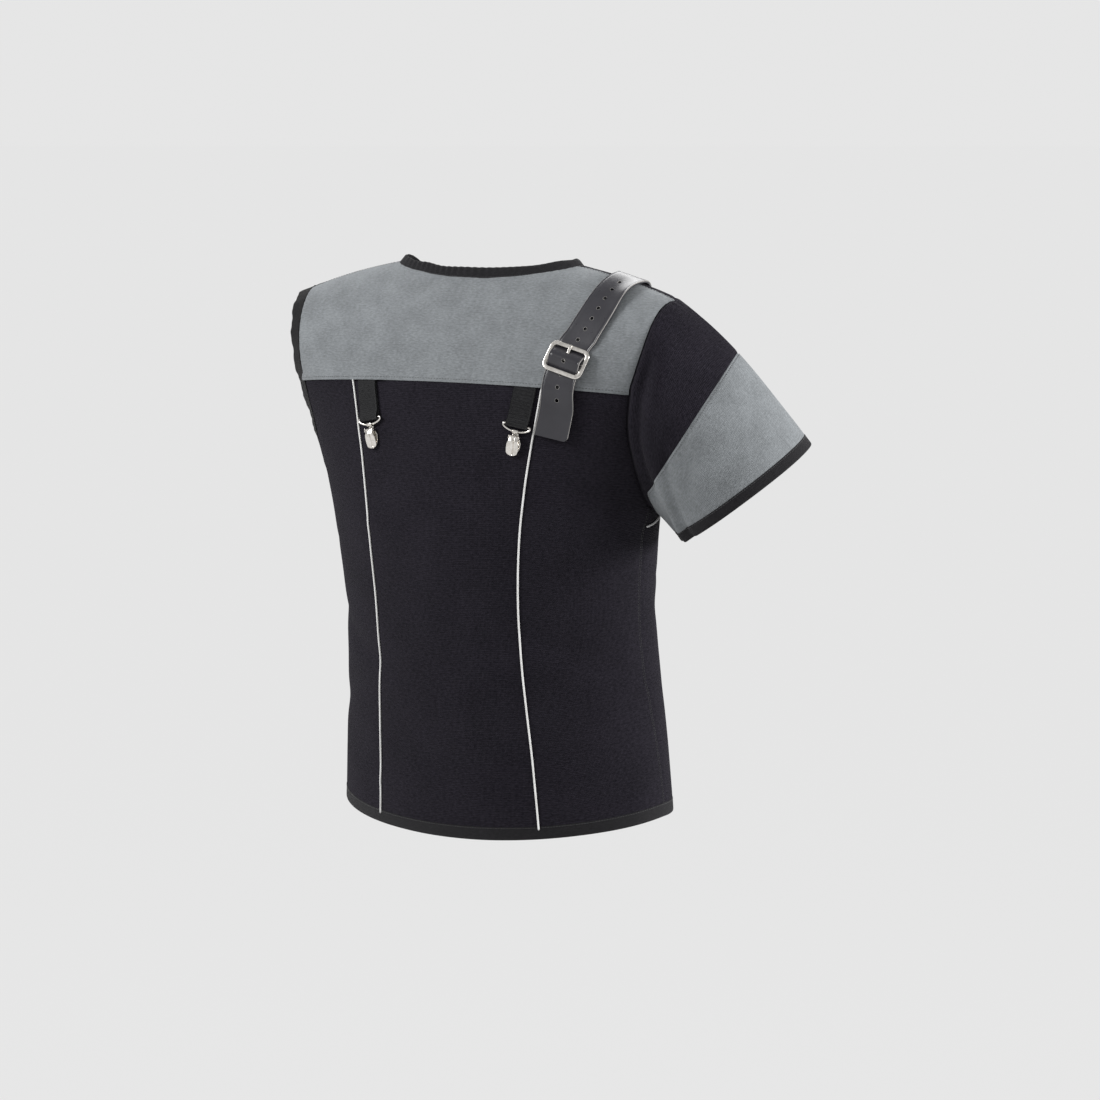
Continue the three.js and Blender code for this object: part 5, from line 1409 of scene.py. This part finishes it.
edit(tab)
select_where(tab, "polygons", in_slot)
bpy.ops.mesh.delete(type="FACE")
leave_edit()
add_modifier(tab, "SOLIDIFY", thickness=0.0012, offset=0, material_offset_rim=1)
smooth(tab)
stands_for(tab, "jacket", "strap_leather", "buckle_tab")

# Buckle: a bright nickel-plated centre-bar buckle, cast frame with rounded corners, and a prong
# curled round the bar whose tip rests on the frame.
BUCKLE_WIDE, BUCKLE_TALL, BUCKLE_BAR, BUCKLE_THICK = 49.0, 35.2, 5.0, 3.7
bpy.ops.mesh.primitive_plane_add(size=1, location=(0, 0, 0))
buckle = bpy.context.object
buckle.scale = (BUCKLE_WIDE, BUCKLE_TALL, 1)
apply_place(buckle)
edit(buckle, "VERT")
bpy.ops.mesh.bevel(offset=8.5, segments=10, affect="VERTICES")
bpy.ops.mesh.select_mode(type="FACE")
bpy.ops.mesh.select_all(action="SELECT")
bpy.ops.mesh.inset(thickness=BUCKLE_BAR)
bpy.ops.mesh.delete(type="FACE")
bpy.ops.mesh.select_all(action="SELECT")
bpy.ops.mesh.extrude_region_move(TRANSFORM_OT_translate={"value": (0, 0, BUCKLE_THICK)})
bpy.ops.mesh.select_all(action="SELECT")
bpy.ops.transform.translate(value=(0, 0, -BUCKLE_THICK / 2))
leave_edit()
outward_faces(buckle)
round_edges(buckle, 1.35, 5, 60)
edit(buckle, "VERT")
bpy.ops.transform.rotate(value=0.103, orient_axis="X", center_override=(0, 0, 0))
bpy.ops.transform.translate(value=(0, 0, BAR_HIGH))
leave_edit()
buckle = join_pieces(buckle, new_bar(BAR_RADIUS, BUCKLE_WIDE - 4, 0, BAR_HIGH))
buckle.name = "buckle_frame_cast"
smooth(buckle, 50)
settle(buckle, buckle_at, "buckle_frame")

prong = new_block((3.3, 15.2, 2.0), (0, 10.0, 9.2))
edit(prong, "EDGE")
bpy.ops.mesh.subdivide(number_cuts=5)
select_where(prong, "vertices", lambda v: v.co.y > 14)
bpy.ops.transform.resize(value=(0.82, 1, 0.8), center_override=(0, 14, 8.6))
select_where(prong, "vertices", lambda v: v.co.y > 16.8)
bpy.ops.transform.resize(value=(0.75, 1, 0.75), center_override=(0, 14, 8.8))
leave_edit()
round_edges(prong, 0.45, 3, 40)
eye = new_bar(3.55, 3.3, 0, BAR_HIGH, 40)
cut_with(eye, new_bar(BAR_RADIUS + 0.2, 12, 0, BAR_HIGH))
round_edges(eye, 0.3)
prong = join_pieces(prong, eye)
prong.name = "buckle_prong_bent"
smooth(prong)
settle(prong, buckle_at, "buckle_prong")

# Buttons: five plain four-hole buttons of black plastic, turned with a raised rim and sewn on
# with crossed thread, each over a corded buttonhole of the left front.
BUTTON_HEIGHTS, HOLE_OUT = (-196, -296, -396, -496, -590), 2.1
button_black = leather_finish("black button plastic", (0.012, 0.012, 0.013), (0.022, 0.022, 0.024), 0.3, 0.05)
model = new_round(10, 3.2, (0, 0, 1.6), vertices=64)
edit(model)
select_where(model, "polygons", lambda f: f.normal.z > 0.9)
bpy.ops.mesh.inset(thickness=1.9)
bpy.ops.transform.translate(value=(0, 0, -0.8))
bpy.ops.mesh.inset(thickness=1.2)
bpy.ops.transform.translate(value=(0, 0, 0.12))
leave_edit()
round_edges(model, 0.45, 4, 25)
corners = [(x, y, 1.6) for x in (-HOLE_OUT, HOLE_OUT) for y in (-HOLE_OUT, HOLE_OUT)]
cut_with(model, join_pieces(*(new_round(0.95, 8, corner, vertices=16) for corner in corners)))
smooth(model, 35)
threads, buttonholes = [], []
for number, z in enumerate(BUTTON_HEIGHTS, start=1):
    level = float(level_at(z))
    out = form_normal(level, pi)
    across = unit(np.cross(np.array((0, 0, 1.0)), out))
    up = np.cross(out, across)
    seat = body_point(level, pi, LAP_LIFT + SEAM_GAP)
    button = model.copy()
    button.data = model.data.copy()
    button.name = f"button_turned_{number}"
    scene.collection.objects.link(button)
    settle(button, (seat, across, up, out), f"button_{number}", slot="button_black", finish=button_black)
    t = np.linspace(-1, 1, 9)[:, None]
    for way in (-1, 1):
        arch = seat + (across * way + up) * HOLE_OUT * t + out * (3.1 - 0.6 * t**4)
        threads += [(arch + across * shift, np.broadcast_to(out, arch.shape)) for shift in (-0.35, 0.0, 0.35)]
    angle = pi + np.linspace(-11.0, 15.0, 40) / FRONT_ROUND
    buttonholes += [on_body(level + step / BODY_TALL, angle, 0.2, LAP_LIFT) for step in (-0.8, 0.8)]
bpy.data.objects.remove(model)
sew("button_threads", threads, black_thread, "button_black", 5.2, 0.4)
sew("buttonhole_stitches", buttonholes, black_thread, "black_canvas", 0.55, 0.08, 0.55)
